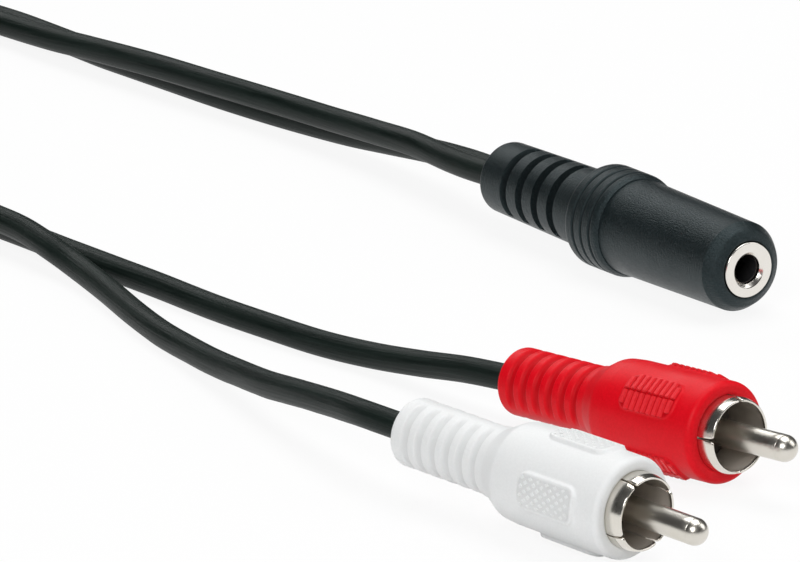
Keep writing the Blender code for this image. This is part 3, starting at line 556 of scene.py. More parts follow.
@dataclass(frozen=True)
class GripMarks:
    """Raised marks in rows on each of a plug's four pads.

    The taper is the share of the foot's width that the head keeps, and the end share is the share
    of their length that the marks in the first and the last column keep.
    """

    shape: MarkShape
    columns: int
    rows: int
    pitch: float
    row_pitch: float
    stagger: float
    front: float
    radius: float
    length: float
    width: float
    height: float
    taper: float
    end_share: float = 1.0
    pads: int = 4
    root: float = 0.05
    soft_edge: float = 0.13

    def mark(self) -> bpy.types.Object:
        """Return one mark, standing on z = 0: a low block with sloping sides and soft edges."""
        half_x, half_y = self.width / 2, self.length / 2
        plan = [(half_x, half_y), (-half_x, half_y), (-half_x, -half_y), (half_x, -half_y)]
        if self.shape is MarkShape.DIAMOND:
            plan = [(half_x, 0.0), (0.0, half_y), (-half_x, 0.0), (0.0, -half_y)]
        bm = bmesh.new()
        layer = bm.verts.layers.float.new("recess")
        # The feet count as fully deep, so the colour is painted darker down the marks' sides: painted
        # shade between the marks.
        foot = [bm.verts.new((x, y, -self.root)) for x, y in plan]
        for vert in foot:
            vert[layer] = 1.0
        inset = (1.0 - self.taper) * self.width
        shorter = 1.0 - inset / self.length
        head = [bm.verts.new((x * self.taper, y * shorter, self.height)) for x, y in plan]
        bm.faces.new(list(reversed(foot)))
        bm.faces.new(head)
        for k in range(4):
            m = (k + 1) % 4
            bm.faces.new((foot[k], foot[m], head[m], head[k]))
        top = [edge for edge in bm.edges if any(vert.co.z > 0 for vert in edge.verts)]
        bmesh.ops.bevel(bm, geom=top, offset=min(self.width, self.length) * self.soft_edge,
                        segments=2, affect="EDGES")
        mesh = bpy.data.meshes.new("grip_mark")
        bm.to_mesh(mesh)
        bm.free()
        mesh.shade_smooth()
        mesh.set_sharp_from_angle(angle=math.radians(20.0))
        return linked("grip_mark", mesh)

    def tree(self, mark: bpy.types.Object, finish: bpy.types.Material) -> bpy.types.NodeTree:
        """Return a node tree that lays the marks out in rows and wraps them on the pads."""
        tree = bpy.data.node_groups.new("grip_marks", "GeometryNodeTree")
        for label, kind in GRIP_INPUTS.items():
            tree.interface.new_socket(label, in_out="INPUT", socket_type="NodeSocket" + kind)
        tree.interface.new_socket("Geometry", in_out="OUTPUT", socket_type="NodeSocketGeometry")
        given = tree.nodes.new("NodeGroupInput").outputs

        def node(kind: str, **values: object) -> bpy.types.Node:
            """Add a node with its properties."""
            made = tree.nodes.new(kind)
            for key, value in values.items():
                setattr(made, key, value)
            return made

        def maths(operation: str, first: object, second: object = None) -> bpy.types.NodeSocket:
            """Add a maths node and return its result."""
            made = node("ShaderNodeMath", operation=operation)
            for socket, value in zip(made.inputs, (first, second)):
                if isinstance(value, bpy.types.NodeSocket):
                    tree.links.new(value, socket)
                elif value is not None:
                    socket.default_value = value
            return made.outputs[0]

        def joined(target: bpy.types.Node, **sources: object) -> bpy.types.Node:
            """Link sources to a node's inputs, whose names have spaces for underscores."""
            for key, source in sources.items():
                tree.links.new(source, target.inputs[key.replace("_", " ")])
            return target

        def span(pitch: str, count: str) -> bpy.types.NodeSocket:
            """Return how far it is from the first to the last of some evenly spaced points."""
            return maths("MULTIPLY", given[pitch], maths("SUBTRACT", given[count], 1.0))

        grid = joined(node("GeometryNodeMeshGrid"), Vertices_X=given["Columns"],
                      Vertices_Y=given["Rows"], Size_X=span("Pitch", "Columns"),
                      Size_Y=span("Row Pitch", "Rows"))
        index = node("GeometryNodeInputIndex").outputs[0]
        odd = maths("MODULO", maths("MODULO", index, given["Rows"]), 2.0)
        column = maths("FLOOR", maths("DIVIDE", maths("ADD", index, 0.5), given["Rows"]))
        middle = maths("DIVIDE", maths("SUBTRACT", given["Columns"], 1.0), 2.0)
        off_middle = maths("ABSOLUTE", maths("SUBTRACT", column, middle))
        at_end = maths("GREATER_THAN", off_middle, maths("SUBTRACT", middle, 0.5))
        lost = maths("MULTIPLY", at_end, maths("SUBTRACT", 1.0, given["End Share"]))
        side = maths("MULTIPLY", maths("SUBTRACT", odd, 0.5), given["Length"])
        shift = joined(node("ShaderNodeCombineXYZ"),
                       X=maths("MULTIPLY", maths("SUBTRACT", odd, 0.5), given["Stagger"]),
                       Y=maths("MULTIPLY", maths("MULTIPLY", side, lost), -1.0))
        shorter = joined(node("ShaderNodeCombineXYZ"), Y=maths("SUBTRACT", 1.0, lost))
        shorter.inputs["X"].default_value = shorter.inputs["Z"].default_value = 1.0
        staggered = joined(node("GeometryNodeSetPosition"), Geometry=grid.outputs["Mesh"],
                           Offset=shift.outputs[0])
        shape = node("GeometryNodeObjectInfo")
        shape.inputs["Object"].default_value = mark
        laid = joined(node("GeometryNodeInstanceOnPoints"), Points=staggered.outputs[0],
                      Instance=shape.outputs["Geometry"], Scale=shorter.outputs[0])
        flat = joined(node("GeometryNodeRealizeInstances"), Geometry=laid.outputs[0])
        at = joined(node("ShaderNodeSeparateXYZ"),
                    Vector=node("GeometryNodeInputPosition").outputs[0])
        bend = maths("DIVIDE", at.outputs["Y"], given["Radius"])
        reach = maths("ADD", at.outputs["Z"], given["Radius"])
        wrapped = joined(node("ShaderNodeCombineXYZ"), X=maths("ADD", at.outputs["X"], given["Front"]),
                         Y=maths("MULTIPLY", reach, maths("COSINE", bend)),
                         Z=maths("MULTIPLY", reach, maths("SINE", bend)))
        pad = joined(node("GeometryNodeSetPosition"), Geometry=flat.outputs[0],
                     Position=wrapped.outputs[0])
        ring = joined(node("GeometryNodePoints"), Count=given["Pads"])
        quarter = maths("DIVIDE", 2.0 * math.pi, given["Pads"])
        facing = joined(node("ShaderNodeCombineXYZ"),
                        X=maths("MULTIPLY", node("GeometryNodeInputIndex").outputs[0], quarter))
        round_about = joined(node("GeometryNodeInstanceOnPoints"), Points=ring.outputs[0],
                             Instance=pad.outputs[0], Rotation=facing.outputs[0])
        real = joined(node("GeometryNodeRealizeInstances"), Geometry=round_about.outputs[0])
        painted = joined(node("GeometryNodeSetMaterial"), Geometry=real.outputs[0])
        painted.inputs["Material"].default_value = finish
        joined(node("NodeGroupOutput"), Geometry=painted.outputs[0])
        return tree

    def piece(self, name: str, place: Matrix, finish: bpy.types.Material) -> bpy.types.Object:
        """Return the marks as one placed mesh piece."""
        mark = self.mark()
        tree = self.tree(mark, finish)
        carrier = linked(name + "_tree", bpy.data.meshes.new(name + "_tree"))
        modifier = carrier.modifiers.new("grip_marks", "NODES")
        modifier.node_group = tree
        for socket in tree.interface.items_tree:
            if socket.in_out == "INPUT":
                modifier[socket.identifier] = getattr(self, socket.name.lower().replace(" ", "_"))
        graph = bpy.context.evaluated_depsgraph_get()
        mesh = bpy.data.meshes.new_from_object(carrier.evaluated_get(graph))
        bpy.data.objects.remove(carrier)
        bpy.data.objects.remove(mark)
        mesh.transform(place @ Matrix.Scale(MM, 4))
        mesh.name = name
        return linked(name, mesh)


# Phono plugs


def beyond(over: np.ndarray, side: np.ndarray, corner: float) -> np.ndarray:
    """Return the distance outside a rectangle with rounded corners, which is negative inside.

    Args:
        over: How far each place is past the centre of a corner's arc, along the rectangle.
        side: The same across it.
        corner: The corners' radius.
    """
    out = np.hypot(np.maximum(over, 0.0), np.maximum(side, 0.0))
    return out + (np.minimum(np.maximum(over, side), 0.0) - corner)


@dataclass
class PhonoPlug:
    """A moulded phono plug: its body with grip pads, its outer contact, its disc and its pin."""

    colour: PlugColour
    place: Placement
    marks: GripMarks
    pad_frame: float
    pad_sink: float
    slot_turn: float
    length: float = 37.3
    cord_radius: float = 1.6
    shell_radius: float = 4.55
    shell_wall: float = 0.4
    shell_proud: float = 2.3
    shell_length: float = 9.0
    front_radius: float = 6.05
    body_radius: float = 5.95
    relief_radius: float = 4.07
    pad_radius: float = 6.38
    pad_front: float = 5.7
    pad_length: float = 8.9
    pad_half_angle: float = 21.5
    pad_corner: float = 1.4
    pad_edge: float = 0.36
    sunk_edge: float = 0.24
    # How much painted shade the pads' sunken fields get, from 0 to 1.
    sunk_recess: float = 0.8
    groove_count: int = 6
    groove_pitch: float = 2.2
    groove_first: float = 2.4
    groove_width: float = 1.0
    groove_depth: float = 0.38
    groove_half_angle: float = 80.0
    groove_edge: float = 0.34
    groove_fade: float = 26.0
    slot_width: float = 0.25
    slot_length: float = 6.2
    finger_corner: float = 0.5
    finger_corner_turn: float = 5.0
    # Painted reflection: how far each finger's inside takes the painted hollow tone and turns rougher, a
    # different amount per finger.
    finger_painted_reflection: tuple[float, float, float, float] = (0.6, 0.95, 0.7, 0.85)
    pin_radius: float = 1.6
    pin_proud: float = 8.93

    def row_step(self, x: float) -> float:
        """Return how far apart the body's rows lie at a place along it."""
        if x < -self.length + self.groove_first + self.groove_count * self.groove_pitch:
            return 0.11
        if -self.pad_front - self.pad_length - 0.6 < x < -self.pad_front + 0.6:
            return 0.13
        return 0.35

    def relief(self, x: np.ndarray, phi: np.ndarray) -> tuple[np.ndarray, np.ndarray]:
        """Return what the pads and grooves add to the body's radius, and how deep each place is, for
        painted shade.
        """
        change, recess = np.zeros_like(x), np.zeros_like(x)
        for index in range(self.groove_count):
            centre = -self.length + self.groove_first + index * self.groove_pitch
            half = (self.groove_width + self.groove_edge) / 2
            across = eased((half - np.abs(x - centre)) / self.groove_edge)
            for side in (0.0, 180.0):
                left = self.groove_half_angle - angle_from(phi, side)
                cut = across * eased(left / self.groove_fade)
                change -= self.groove_depth * cut
                # The grooves' depth is painted as shade by the moulding's finish.
                recess = np.maximum(recess, cut)
        middle = -self.pad_front - self.pad_length / 2
        half_length = self.pad_length / 2
        half_width = math.radians(self.pad_half_angle) * self.pad_radius
        for centre in (0.0, 90.0, 180.0, 270.0):
            over = np.abs(x - middle) - half_length + self.pad_corner
            side = np.radians(angle_from(phi, centre)) * self.pad_radius
            side += self.pad_corner - half_width
            raised = eased(0.5 - beyond(over, side, self.pad_corner) / self.pad_edge)
            over = (np.abs(x - middle + self.pad_frame / 2) - half_length - self.pad_frame / 2
                    + self.pad_corner)
            within = beyond(over, side, self.pad_corner) + self.pad_frame
            sunk = eased(0.5 - within / self.sunk_edge) * raised
            change += (self.pad_radius - self.body_radius) * raised - self.pad_sink * sunk
            # The pads' sunken fields are painted as shade as well.
            recess = np.maximum(recess, self.sunk_recess * sunk)
        return change, recess

    def body(self) -> bpy.types.Object:
        """Build the moulded body."""
        rear, face = -self.length, -self.shell_proud
        bore, throat = self.shell_radius + 0.01, self.cord_radius + 0.03
        outer = [(face - 0.04, bore, 0.0), (face, bore + 0.03, 0.0), (face, self.front_radius, 1.35),
                 (-6.0, self.front_radius, 2.0), (-17.4, self.body_radius, 3.0),
                 (-19.3, self.body_radius - 0.15, 1.6), (-22.0, 4.42, 1.8),
                 (-24.2, self.relief_radius, 3.0), (rear, self.relief_radius, 0.62),
                 (rear, throat, 0.0)]
        inner = [(rear + 3.0, throat), (rear + 3.2, throat), (-9.6, 3.6), (-9.4, bore)]
        return turned(self.colour.value + "_body", spaced(filleted(outer), self.row_step), inner,
                      self.place.matrix(), 240, self.relief)

    def shell_fingers(self) -> bmesh.types.BMesh:
        """Return the outer contact's four fingers, with rounded corners at the rim."""
        bm = bmesh.new()
        layer = bm.verts.layers.float.new("recess")
        outside, inside = self.shell_radius, self.shell_radius - self.shell_wall
        start = -self.slot_length
        outline = filleted([(start, outside, 0.0), (-0.9, outside, 0.5), (0.0, outside - 0.22, 0.14),
                            (0.0, inside - 0.12, 0.12), (-0.6, inside - 0.04, 0.4), (-1.2, inside, 0.3),
                            (start, inside, 0.0)])
        half = math.degrees(self.slot_width / 2 / self.shell_radius)
        edge = [0.0, 0.35, 0.8, 1.5, 2.4, 3.6, 5.0]
        for quarter, finger_reflection in enumerate(self.finger_painted_reflection):
            first = self.slot_turn + 90.0 * quarter + half
            last = first + 90.0 - 2.0 * half
            angles = [first + a for a in edge]
            angles += list(np.linspace(first + 7.0, last - 7.0, 26)) + [last - a for a in reversed(edge)]
            rings = []
            for angle in angles:
                near = min(angle - first, last - angle) / self.finger_corner_turn
                lost = 1.0 - math.sqrt(max(0.0, 1.0 - (1.0 - min(near, 1.0)) ** 2))
                scale = (self.slot_length - self.finger_corner * lost) / self.slot_length
                turn = math.radians(angle)
                across, up = math.cos(turn), math.sin(turn)
                ring = []
                for x, r in outline:
                    vert = bm.verts.new((start + (x - start) * scale, r * across, r * up))
                    # Inside each finger: painted reflection, a tone that differs from finger to finger.
                    vert[layer] = finger_reflection if r < inside + 0.02 and x < -0.3 else 0.0
                    ring.append(vert)
                rings.append(ring)
            for left, right in zip(rings, rings[1:]):
                for k in range(len(outline)):
                    m = (k + 1) % len(outline)
                    bm.faces.new((left[k], left[m], right[m], right[k]))
            for ring in (rings[0], rings[-1]):
                for k in range(len(outline) // 2):
                    m = len(outline) - 1 - k
                    if m - 1 > k + 1:
                        bm.faces.new((ring[k], ring[k + 1], ring[m - 1], ring[m]))
                    elif m - 1 == k + 1:
                        bm.faces.new((ring[k], ring[k + 1], ring[m]))
        return bm

    def shell(self) -> bpy.types.Object:
        """Build the outer contact: four fingers, and the closed ring with its base and solder tab."""
        bm = self.shell_fingers()
        outside, inside = self.shell_radius, self.shell_radius - self.shell_wall
        rear, base = -self.shell_length, -self.shell_length + self.shell_wall
        phi = np.linspace(0.0, 2.0 * math.pi, 96, endpoint=False)[None, :]
        ring = [(-self.slot_length, outside), (rear, outside), (rear, 2.4), (base, 2.4), (base, inside),
                (-self.slot_length, inside)]
        x = np.array([point[0] for point in ring])[:, None] + np.zeros_like(phi)
        r = np.array([point[1] for point in ring])[:, None] + np.zeros_like(phi)
        # The ring's inside and its base take the painted hollow tone as painted reflection.
        within = np.where((r < outside - 0.1) & (x > rear + 0.1), 1.0, 0.0)
        grid_faces(bm, np.stack((x, r * np.cos(phi), r * np.sin(phi)), axis=-1), True, True, within)
        tab = bmesh.ops.create_cube(bm, size=1.0)["verts"]
        for vert in tab:
            vert.co = (rear - 3.5 + vert.co.x * 7.0, vert.co.y * 2.0, 3.02 + vert.co.z * 0.25)
        return piece_from_bmesh(self.colour.value + "_outer_contact", bm, self.place.matrix(), 38.0)

    def disc(self) -> bpy.types.Object:
        """Build the insulating disc, with a raised rim round the pin."""
        outside = self.shell_radius - self.shell_wall - 0.06
        hole = self.pin_radius + 0.04
        outer = filleted([(-5.9, hole, 0.0), (-5.9, 2.35, 0.08), (-6.1, 2.5, 0.08),
                          (-6.1, outside - 0.1, 0.1), (-6.3, outside, 0.1), (-8.5, outside, 0.0)])
        inner = [(-8.5, 2.2), (-9.8, 2.2), (-9.8, hole)]
        return turned(self.colour.value + "_disc", spaced(outer, lambda x: 0.5), inner,
                      self.place.matrix(), 72)

    def pin(self) -> bpy.types.Object:
        """Build the centre pin, with a domed end, its parting line and a flange at its root."""
        tip, radius = self.pin_proud, self.pin_radius
        dome = 1.5
        outline = [(tip, 0.0)]
        outline += [(tip - dome + dome * math.cos(a), radius * math.sin(a))
                    for a in np.linspace(0.0, math.pi / 2, 12)[1:]]
        outline += filleted([(tip - dome - 0.03, radius, 0.0), (tip - dome - 0.07, radius - 0.035, 0.0),
                             (tip - dome - 0.12, radius, 0.0), (-4.9, radius, 0.1),
                             (-5.3, radius + 0.05, 0.1), (-5.5, 2.0, 0.1), (-5.85, 2.0, 0.0),
                             (-5.85, radius, 0.0), (-10.1, radius, 0.0), (-10.1, 1.1, 0.0),
                             (-12.5, 1.1, 0.0), (-12.5, 0.0, 0.0)])
        return turned(self.colour.value + "_centre_pin", spaced(outline, lambda x: 1.2), [],
                      self.place.matrix(), 64, crease=50.0)

    def build(self, finishes: Finishes) -> list[bpy.types.Object]:
        """Build and dress the plug.

        Args:
            finishes: The cable's finishes.

        Returns:
            The plug's pieces.
        """
        name = self.colour.value
        moulding = name + "_moulding"
        body = finishes.dress(self.body(), moulding)
        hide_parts(name + "_overmould")
        # The red plug's marks take the lighter copy of its moulding, which is painted sheen.
        grip = "red_grip" if self.colour is PlugColour.RED else moulding
        marks = self.marks.piece(name + "_grip_marks", self.place.matrix(), finishes.materials[grip])
        finishes.dress(marks, grip)
        shell = finishes.dress(self.shell(), "nickel")
        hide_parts(name + "_shell")
        disc = finishes.dress(self.disc(), "plug_insulator")
        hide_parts(name + "_insulator")
        pin = finishes.dress(self.pin(), "pin_nickel")
        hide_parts(name + "_pin")
        return [body, marks, shell, disc, pin]


# Jack socket


@dataclass
class JackSocket:
    """The moulded jack socket: body with collar and slotted relief, and the nickel bush."""

    place: Placement
    length: float = 50.1
    barrel_front_radius: float = 5.57
    barrel_rear_radius: float = 5.98
    collar_front: float = 22.6
    collar_length: float = 6.8
    collar_radius: float = 6.5
    collar_lines: int = 3
    collar_first: float = 1.5
    collar_pitch: float = 1.68
    collar_line_width: float = 0.27
    collar_line_depth: float = 0.3
    collar_line_edge: float = 0.22
    neck_radius: float = 5.0
    rear_radius: float = 4.5
    slot_count: int = 4
    slot_pitch: float = 3.38
    slot_first: float = 5.4
    slot_width: float = 1.2
    slot_floor: float = 3.35
    slot_half_angle: float = 73.0
    slot_edge: float = 0.12
    slot_overrun: float = 2.0
    slot_fade: float = 5.0
    cord_radius: float = 1.6
    throat_radius: float = 1.64
    throat_depth: float = 14.0
    bush_radius: float = 3.45
    hole_radius: float = 1.8
    mouth_radius: float = 2.19
    mouth_turn: float = 15.7
    rim_depth: float = 1.0
    sleeve_wall: float = 0.15

    def row_step(self, x: float) -> float:
        """Return how far apart the body's rows lie at a place along it."""
        if x < -self.length + self.slot_first + self.slot_count * self.slot_pitch:
            return 0.1
        if -self.collar_front - self.collar_length - 0.2 < x < -self.collar_front + 0.2:
            return 0.09
        return 0.4

    def relief(self, x: np.ndarray, phi: np.ndarray) -> tuple[np.ndarray, np.ndarray]:
        """Return what the collar's lines and the slots take from the radius, and how deep they are, for
        painted shade.
        """
        change, recess = np.zeros_like(x), np.zeros_like(x)
        # Each place's depth here is painted as shade by the moulding's finish.
        for index in range(self.collar_lines):
            centre = -self.collar_front - self.collar_first - self.collar_pitch * index
            cut = eased((self.collar_line_width - np.abs(x - centre)) / self.collar_line_edge)
            change -= self.collar_line_depth * cut
            recess = np.maximum(recess, cut)
        relief_length = self.length - self.collar_front - self.collar_length
        slope = (self.neck_radius - self.rear_radius) / relief_length
        for index in range(self.slot_count):
            centre = -self.length + self.slot_first + index * self.slot_pitch
            half = (self.slot_width + self.slot_edge) / 2
            across = eased((half - np.abs(x - centre)) / self.slot_edge)
            surface = self.rear_radius + slope * (x + self.length)
            for side in (0.0, 180.0):
                left = self.slot_half_angle + self.slot_overrun - angle_from(phi, side)
                cut = across * eased(left / self.slot_fade)
                change -= (surface - self.slot_floor) * cut
                recess = np.maximum(recess, cut)
        return change, recess

    def mouth(self, x: np.ndarray, phi: np.ndarray) -> tuple[np.ndarray, np.ndarray]:
        """Return how far the cord's flat mouth reaches past the round hole, and no depth."""
        turn = phi - math.radians(self.mouth_turn)
        across, up = np.abs(np.cos(turn)), np.abs(np.sin(turn))
        core, throat = self.cord_radius, self.throat_radius
        flat = throat / np.maximum(up, 1e-6)
        along = core * across + np.sqrt(np.maximum(throat ** 2 - (core * up) ** 2, 0.0))
        reach = np.where(flat * across < core, flat, along)
        in_throat = x < -self.length + self.throat_depth
        return np.where(in_throat, reach - throat, 0.0), np.zeros_like(x)

    @staticmethod
    def hole_wall(x: np.ndarray, phi: np.ndarray) -> tuple[np.ndarray, np.ndarray]:
        """Return no change of the hole's radius, and how deep each place lies, for painted shade that
        darkens and dulls the plating deeper in the hole.
        """
        return np.zeros_like(x), eased((-x - 0.6) / 0.8)

    def body(self) -> bpy.types.Object:
        """Build the moulded body."""
        rear, collar_rear = -self.length, -self.collar_front - self.collar_length
        seat = self.bush_radius + 0.05
        front, throat = -self.collar_front, self.throat_radius
        outer = [(-0.5, seat, 0.0), (-0.22, seat + 0.08, 0.08), (-0.22, 3.85, 0.5), (-0.75, 4.83, 0.9),
                 (-2.0, self.barrel_front_radius, 0.12), (front + 0.01, self.barrel_rear_radius, 0.0),
                 (front - 0.02, self.barrel_rear_radius + 0.14, 0.05), (front - 0.5, 6.38, 0.5),
                 (front - 1.0, self.collar_radius, 1.0), (collar_rear, self.collar_radius, 0.95),
                 (collar_rear, self.neck_radius, 0.15), (rear, self.rear_radius, 0.6), (rear, throat, 0.0)]
        inner = [(rear, throat), (rear + 3.0, throat), (rear + 6.0, throat), (-14.5, 4.7),
                 (-13.7, 4.7), (-13.7, 3.1), (-1.5, 3.1), (-1.5, seat)]
        return turned("socket_body", spaced(filleted(outer), self.row_step), inner,
                      self.place.matrix(), 208, self.relief, self.mouth, crease=55.0)

    def bush(self) -> bpy.types.Object:
        """Build the nickel bush, with its chamfered hole."""
        outer = filleted([(-0.42, self.hole_radius, 0.0), (-0.36, self.hole_radius + 0.02, 0.08),
                          (-0.04, self.mouth_radius, 0.06), (0.0, self.mouth_radius + 0.12, 0.08),
                          (0.0, self.bush_radius - 0.05, 0.16), (-0.2, self.bush_radius, 0.1),
                          (-1.2, self.bush_radius, 0.0), (-1.2, 3.05, 0.0), (-14.0, 3.05, 0.0)])
        wide = self.hole_radius + self.sleeve_wall
        inner = [(-14.0, wide), (-self.rim_depth, wide), (-self.rim_depth, self.hole_radius),
                 (-0.7, self.hole_radius)]
        return turned("socket_ring", spaced(outer, lambda x: 1.0), inner, self.place.matrix(), 96,
                      inner_relief=self.hole_wall, crease=60.0)

    def hole_sleeve(self) -> bpy.types.Object:
        """Build the black sleeve that lines the hole behind its nickel rim: painted shade, a dark lining
        where the nickel bore lies in shadow.
        """
        wide = self.hole_radius + self.sleeve_wall - 0.01
        front, rear = -self.rim_depth - 0.01, -13.9
        outer = [(front, self.hole_radius), (front, wide), (rear, wide)]
        return turned("socket_sleeve", outer, [(rear, self.hole_radius)], self.place.matrix(), 64,
                      crease=40.0)

    def build(self, finishes: Finishes) -> list[bpy.types.Object]:
        """Build and dress the socket, and return its pieces."""
        body = finishes.dress(self.body(), "black_moulding")
        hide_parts("socket_overmould")
        bush = finishes.dress(self.bush(), "satin_nickel")
        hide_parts("socket_bush")
        # The black sleeve is painted shade deep in the hole.
        sleeve = finishes.dress(self.hole_sleeve(), "tie_band")
        return [body, bush, sleeve]


# Cords


def smooth_route(knots: Sequence[Sequence[float]], step: float) -> np.ndarray:
    """Return points a step apart on a smooth curve through the knots.

    Args:
        knots: Points in millimetres, each with any further values that go along with them.
        step: The distance between the points, in millimetres.

    Returns:
        The points, in rows, with their further values.
    """
    given = np.array(knots, dtype=float)
    padded = np.vstack((2 * given[0] - given[1], given, 2 * given[-1] - given[-2]))
    dense = []
    for before, start, end, after in zip(padded, padded[1:], padded[2:], padded[3:]):
        for t in np.arange(16) / 16.0:
            bend = (2 * before - 5 * start + 4 * end - after) * t ** 2
            twist = (3 * start - before - 3 * end + after) * t ** 3
            dense.append(0.5 * (2 * start + (end - before) * t + bend + twist))
    dense = np.array(dense + [given[-1]])
    reach = np.concatenate(([0.0], np.cumsum(np.linalg.norm(np.diff(dense[:, :3], axis=0), axis=1))))
    goals = np.linspace(0.0, reach[-1], max(3, round(reach[-1] / step)) + 1)
    return np.stack([np.interp(goals, reach, dense[:, k]) for k in range(dense.shape[1])], axis=1)


@dataclass
class Jacket:
    """A cord's jacket, swept along a route with its cross-section kept at the route's roll."""

    name: str
    section: np.ndarray
    step: float = 1.1

    def sweep(self, route: np.ndarray,
              ridge: Optional[Callable[[float], float]] = None) -> bpy.types.Object:
        """Sweep the cross-section.

        Args:
            route: Points (x, y, z, rise) a step apart, in millimetres and degrees.  The rise is that
                of the section's first axis above the left of the way it runs.
            ridge: How much to scale the section's torn edge, by the distance run.

        Returns:
            The jacket, with a map that runs along it.
        """
        places = route[:, :3]
        ahead = np.gradient(places, axis=0)
        ahead /= np.linalg.norm(ahead, axis=1)[:, None]
        left = np.cross((0.0, 0.0, 1.0), ahead)
        left /= np.linalg.norm(left, axis=1)[:, None]
        up = np.cross(ahead, left)
        rise = np.radians(route[:, 3])[:, None]
        wide = np.cos(rise) * left + np.sin(rise) * up
        thin = np.cross(ahead, wide)
        run = np.concatenate(([0.0], np.cumsum(np.linalg.norm(np.diff(places, axis=0), axis=1))))
        count = len(self.section)
        bm = bmesh.new()
        map_layer = bm.loops.layers.uv.new("along")
        rings = []
        for i in range(len(places)):
            ring = []
            for a, b, torn in self.section:
                grow = torn * (ridge(run[i]) if ridge else 1.0)
                scale = 1.0 + grow / max(math.hypot(a, b), 0.1)
                ring.append(bm.verts.new(places[i] + wide[i] * a * scale + thin[i] * b * scale))
            rings.append(ring)
        for i in range(len(rings) - 1):
            for k in range(count):
                m = (k + 1) % count
                face = bm.faces.new((rings[i][k], rings[i][m], rings[i + 1][m], rings[i + 1][k]))
                spots = ((i, k), (i, k + 1), (i + 1, k + 1), (i + 1, k))
                for loop, (row, column) in zip(face.loops, spots):
                    loop[map_layer].uv = (run[row] * MM, column / count)
        bm.faces.new(rings[0])
        bm.faces.new(rings[-1])
        return piece_from_bmesh(self.name, bm, Matrix.Identity(4), 60.0)


def twin_section(radius: float, web: float, steps: int) -> np.ndarray:
    """Return the cross-section of two round cores joined by a web, with no torn edge."""
    notch = math.asin(web / radius)
    points = []
    for side in (1.0, -1.0):
        for angle in np.linspace(-math.pi + notch, math.pi - notch, steps):
            out, up = radius + radius * math.cos(angle), radius * math.sin(angle)
            points.append((side * out, side * up, 0.0))
    return np.array(points)


def single_section(radius: float, steps: int, torn_at: float, torn_height: float,
                   torn_half_angle: float = 15.0) -> np.ndarray:
    """Return a round cross-section with the low ridge that the torn web leaves, at an angle."""
    points = []
    for angle in np.linspace(0.0, 2.0 * math.pi, steps, endpoint=False):
        ridge = torn_height * max(0.0, 1.0 - angle_from(angle, torn_at) / torn_half_angle)
        points.append((radius * math.cos(angle), radius * math.sin(angle), ridge))
    return np.array(points)


@dataclass
class Coil:
    """The length of twin cord that is put away: five turns and a third, in lanes on two layers."""

    x: float = -166.0
    y: float = -30.0
    lanes: tuple[float, float, float] = (37.35, 34.0, 30.65)
    side_radius: float = 40.9
    lower: float = 4.1
    upper: float = 10.55
    jog: float = 60.0

    def knots(self) -> list[tuple[float, float, float, float]]:
        """Return the coil's route: in along the lower layer, up, and out along the upper one."""
        outer, middle, inner = self.lanes
        low, high, jog = self.lower, self.upper, self.jog
        plan = ((0, self.side_radius, low), (jog, outer, low), (360, outer, low),
                (360 + jog, middle, low), (720, middle, low), (720 + jog, inner, low),
                (950, inner, low), (1080, inner, high), (1260, inner, high),
                (1260 + jog, middle, high), (1620, middle, high), (1620 + jog, outer, high),
                (1920 - jog, outer, high), (1920, self.side_radius, high + 0.2))
        turns = np.array([stage[0] for stage in plan], dtype=float)
        route = []
        for turn in np.arange(15.0, 1920.0, 15.0):
            index = int(np.searchsorted(turns, turn, side="right")) - 1
            reach = (turn - turns[index]) / (turns[index + 1] - turns[index])
            share = float(eased(np.array(reach)))
            radius = plan[index][1] + (plan[index + 1][1] - plan[index][1]) * share
            height = plan[index][2] + (plan[index + 1][2] - plan[index][2]) * share
            angle = math.radians(180.0 + turn)
            route.append((self.x + radius * math.cos(angle), self.y + radius * math.sin(angle),
                          height, 90.0))
        return route


@dataclass
class CoilTie:
    """The flat band that holds the coil, and its buckle."""

    x: float = -166.0
    y: float = -30.0
    turn: float = 205.0
    inner: float = 28.85
    outer: float = 39.15
    low: float = 0.45
    high: float = 14.2
    width: float = 3.5
    thickness: float = 0.6
    corner: float = 2.2
    buckle: tuple[float, float, float] = (5.0, 4.8, 2.0)
    buckle_edge: float = 0.4

    def build(self, finishes: Finishes) -> bpy.types.Object:
        """Build and dress the band, and return it."""
        corner, half = self.corner, self.thickness / 2
        path = []
        right, left = self.outer - corner, self.inner + corner
        top, bottom = self.high - corner, self.low + corner
        for cx, cz, start in ((right, top, 0.0), (left, top, 90.0), (left, bottom, 180.0),
                              (right, bottom, 270.0)):
            for a in np.linspace(start, start + 90.0, 8):
                ray = math.radians(a)
                path.append(((cx, cz), (math.cos(ray), math.sin(ray)), corner))
        section = [(-half, -0.5), (-half, 0.5), (half * 0.5, 0.5), (half, 0.38), (half * 0.6, 0.12),
                   (half, 0.0), (half * 0.6, -0.12), (half, -0.38), (half * 0.5, -0.5)]
        rows = np.array([[(c[0] + n[0] * (r + off), side * self.width, c[1] + n[1] * (r + off))
                          for off, side in section] for c, n, r in path])
        bm = bmesh.new()
        grid_faces(bm, rows, True, True)
        block = bmesh.ops.create_cube(bm, size=1.0)["verts"]
        across, deep, tall = self.buckle
        middle = (self.inner + self.outer) / 2
        for vert in block:
            vert.co = (middle + vert.co.x * across, vert.co.y * deep, self.high + 0.9 + vert.co.z * tall)
        edges = list({edge for vert in block for edge in vert.link_edges})
        bmesh.ops.bevel(bm, geom=edges, offset=self.buckle_edge, segments=3, affect="EDGES")
        place = (Matrix.Translation((self.x * MM, self.y * MM, 0.0))
                 @ Matrix.Rotation(math.radians(self.turn), 4, "Z"))
        band = finishes.dress(piece_from_bmesh("coil_band", bm, place, 50.0), "tie_band")
        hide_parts("coil_tie")
        return band


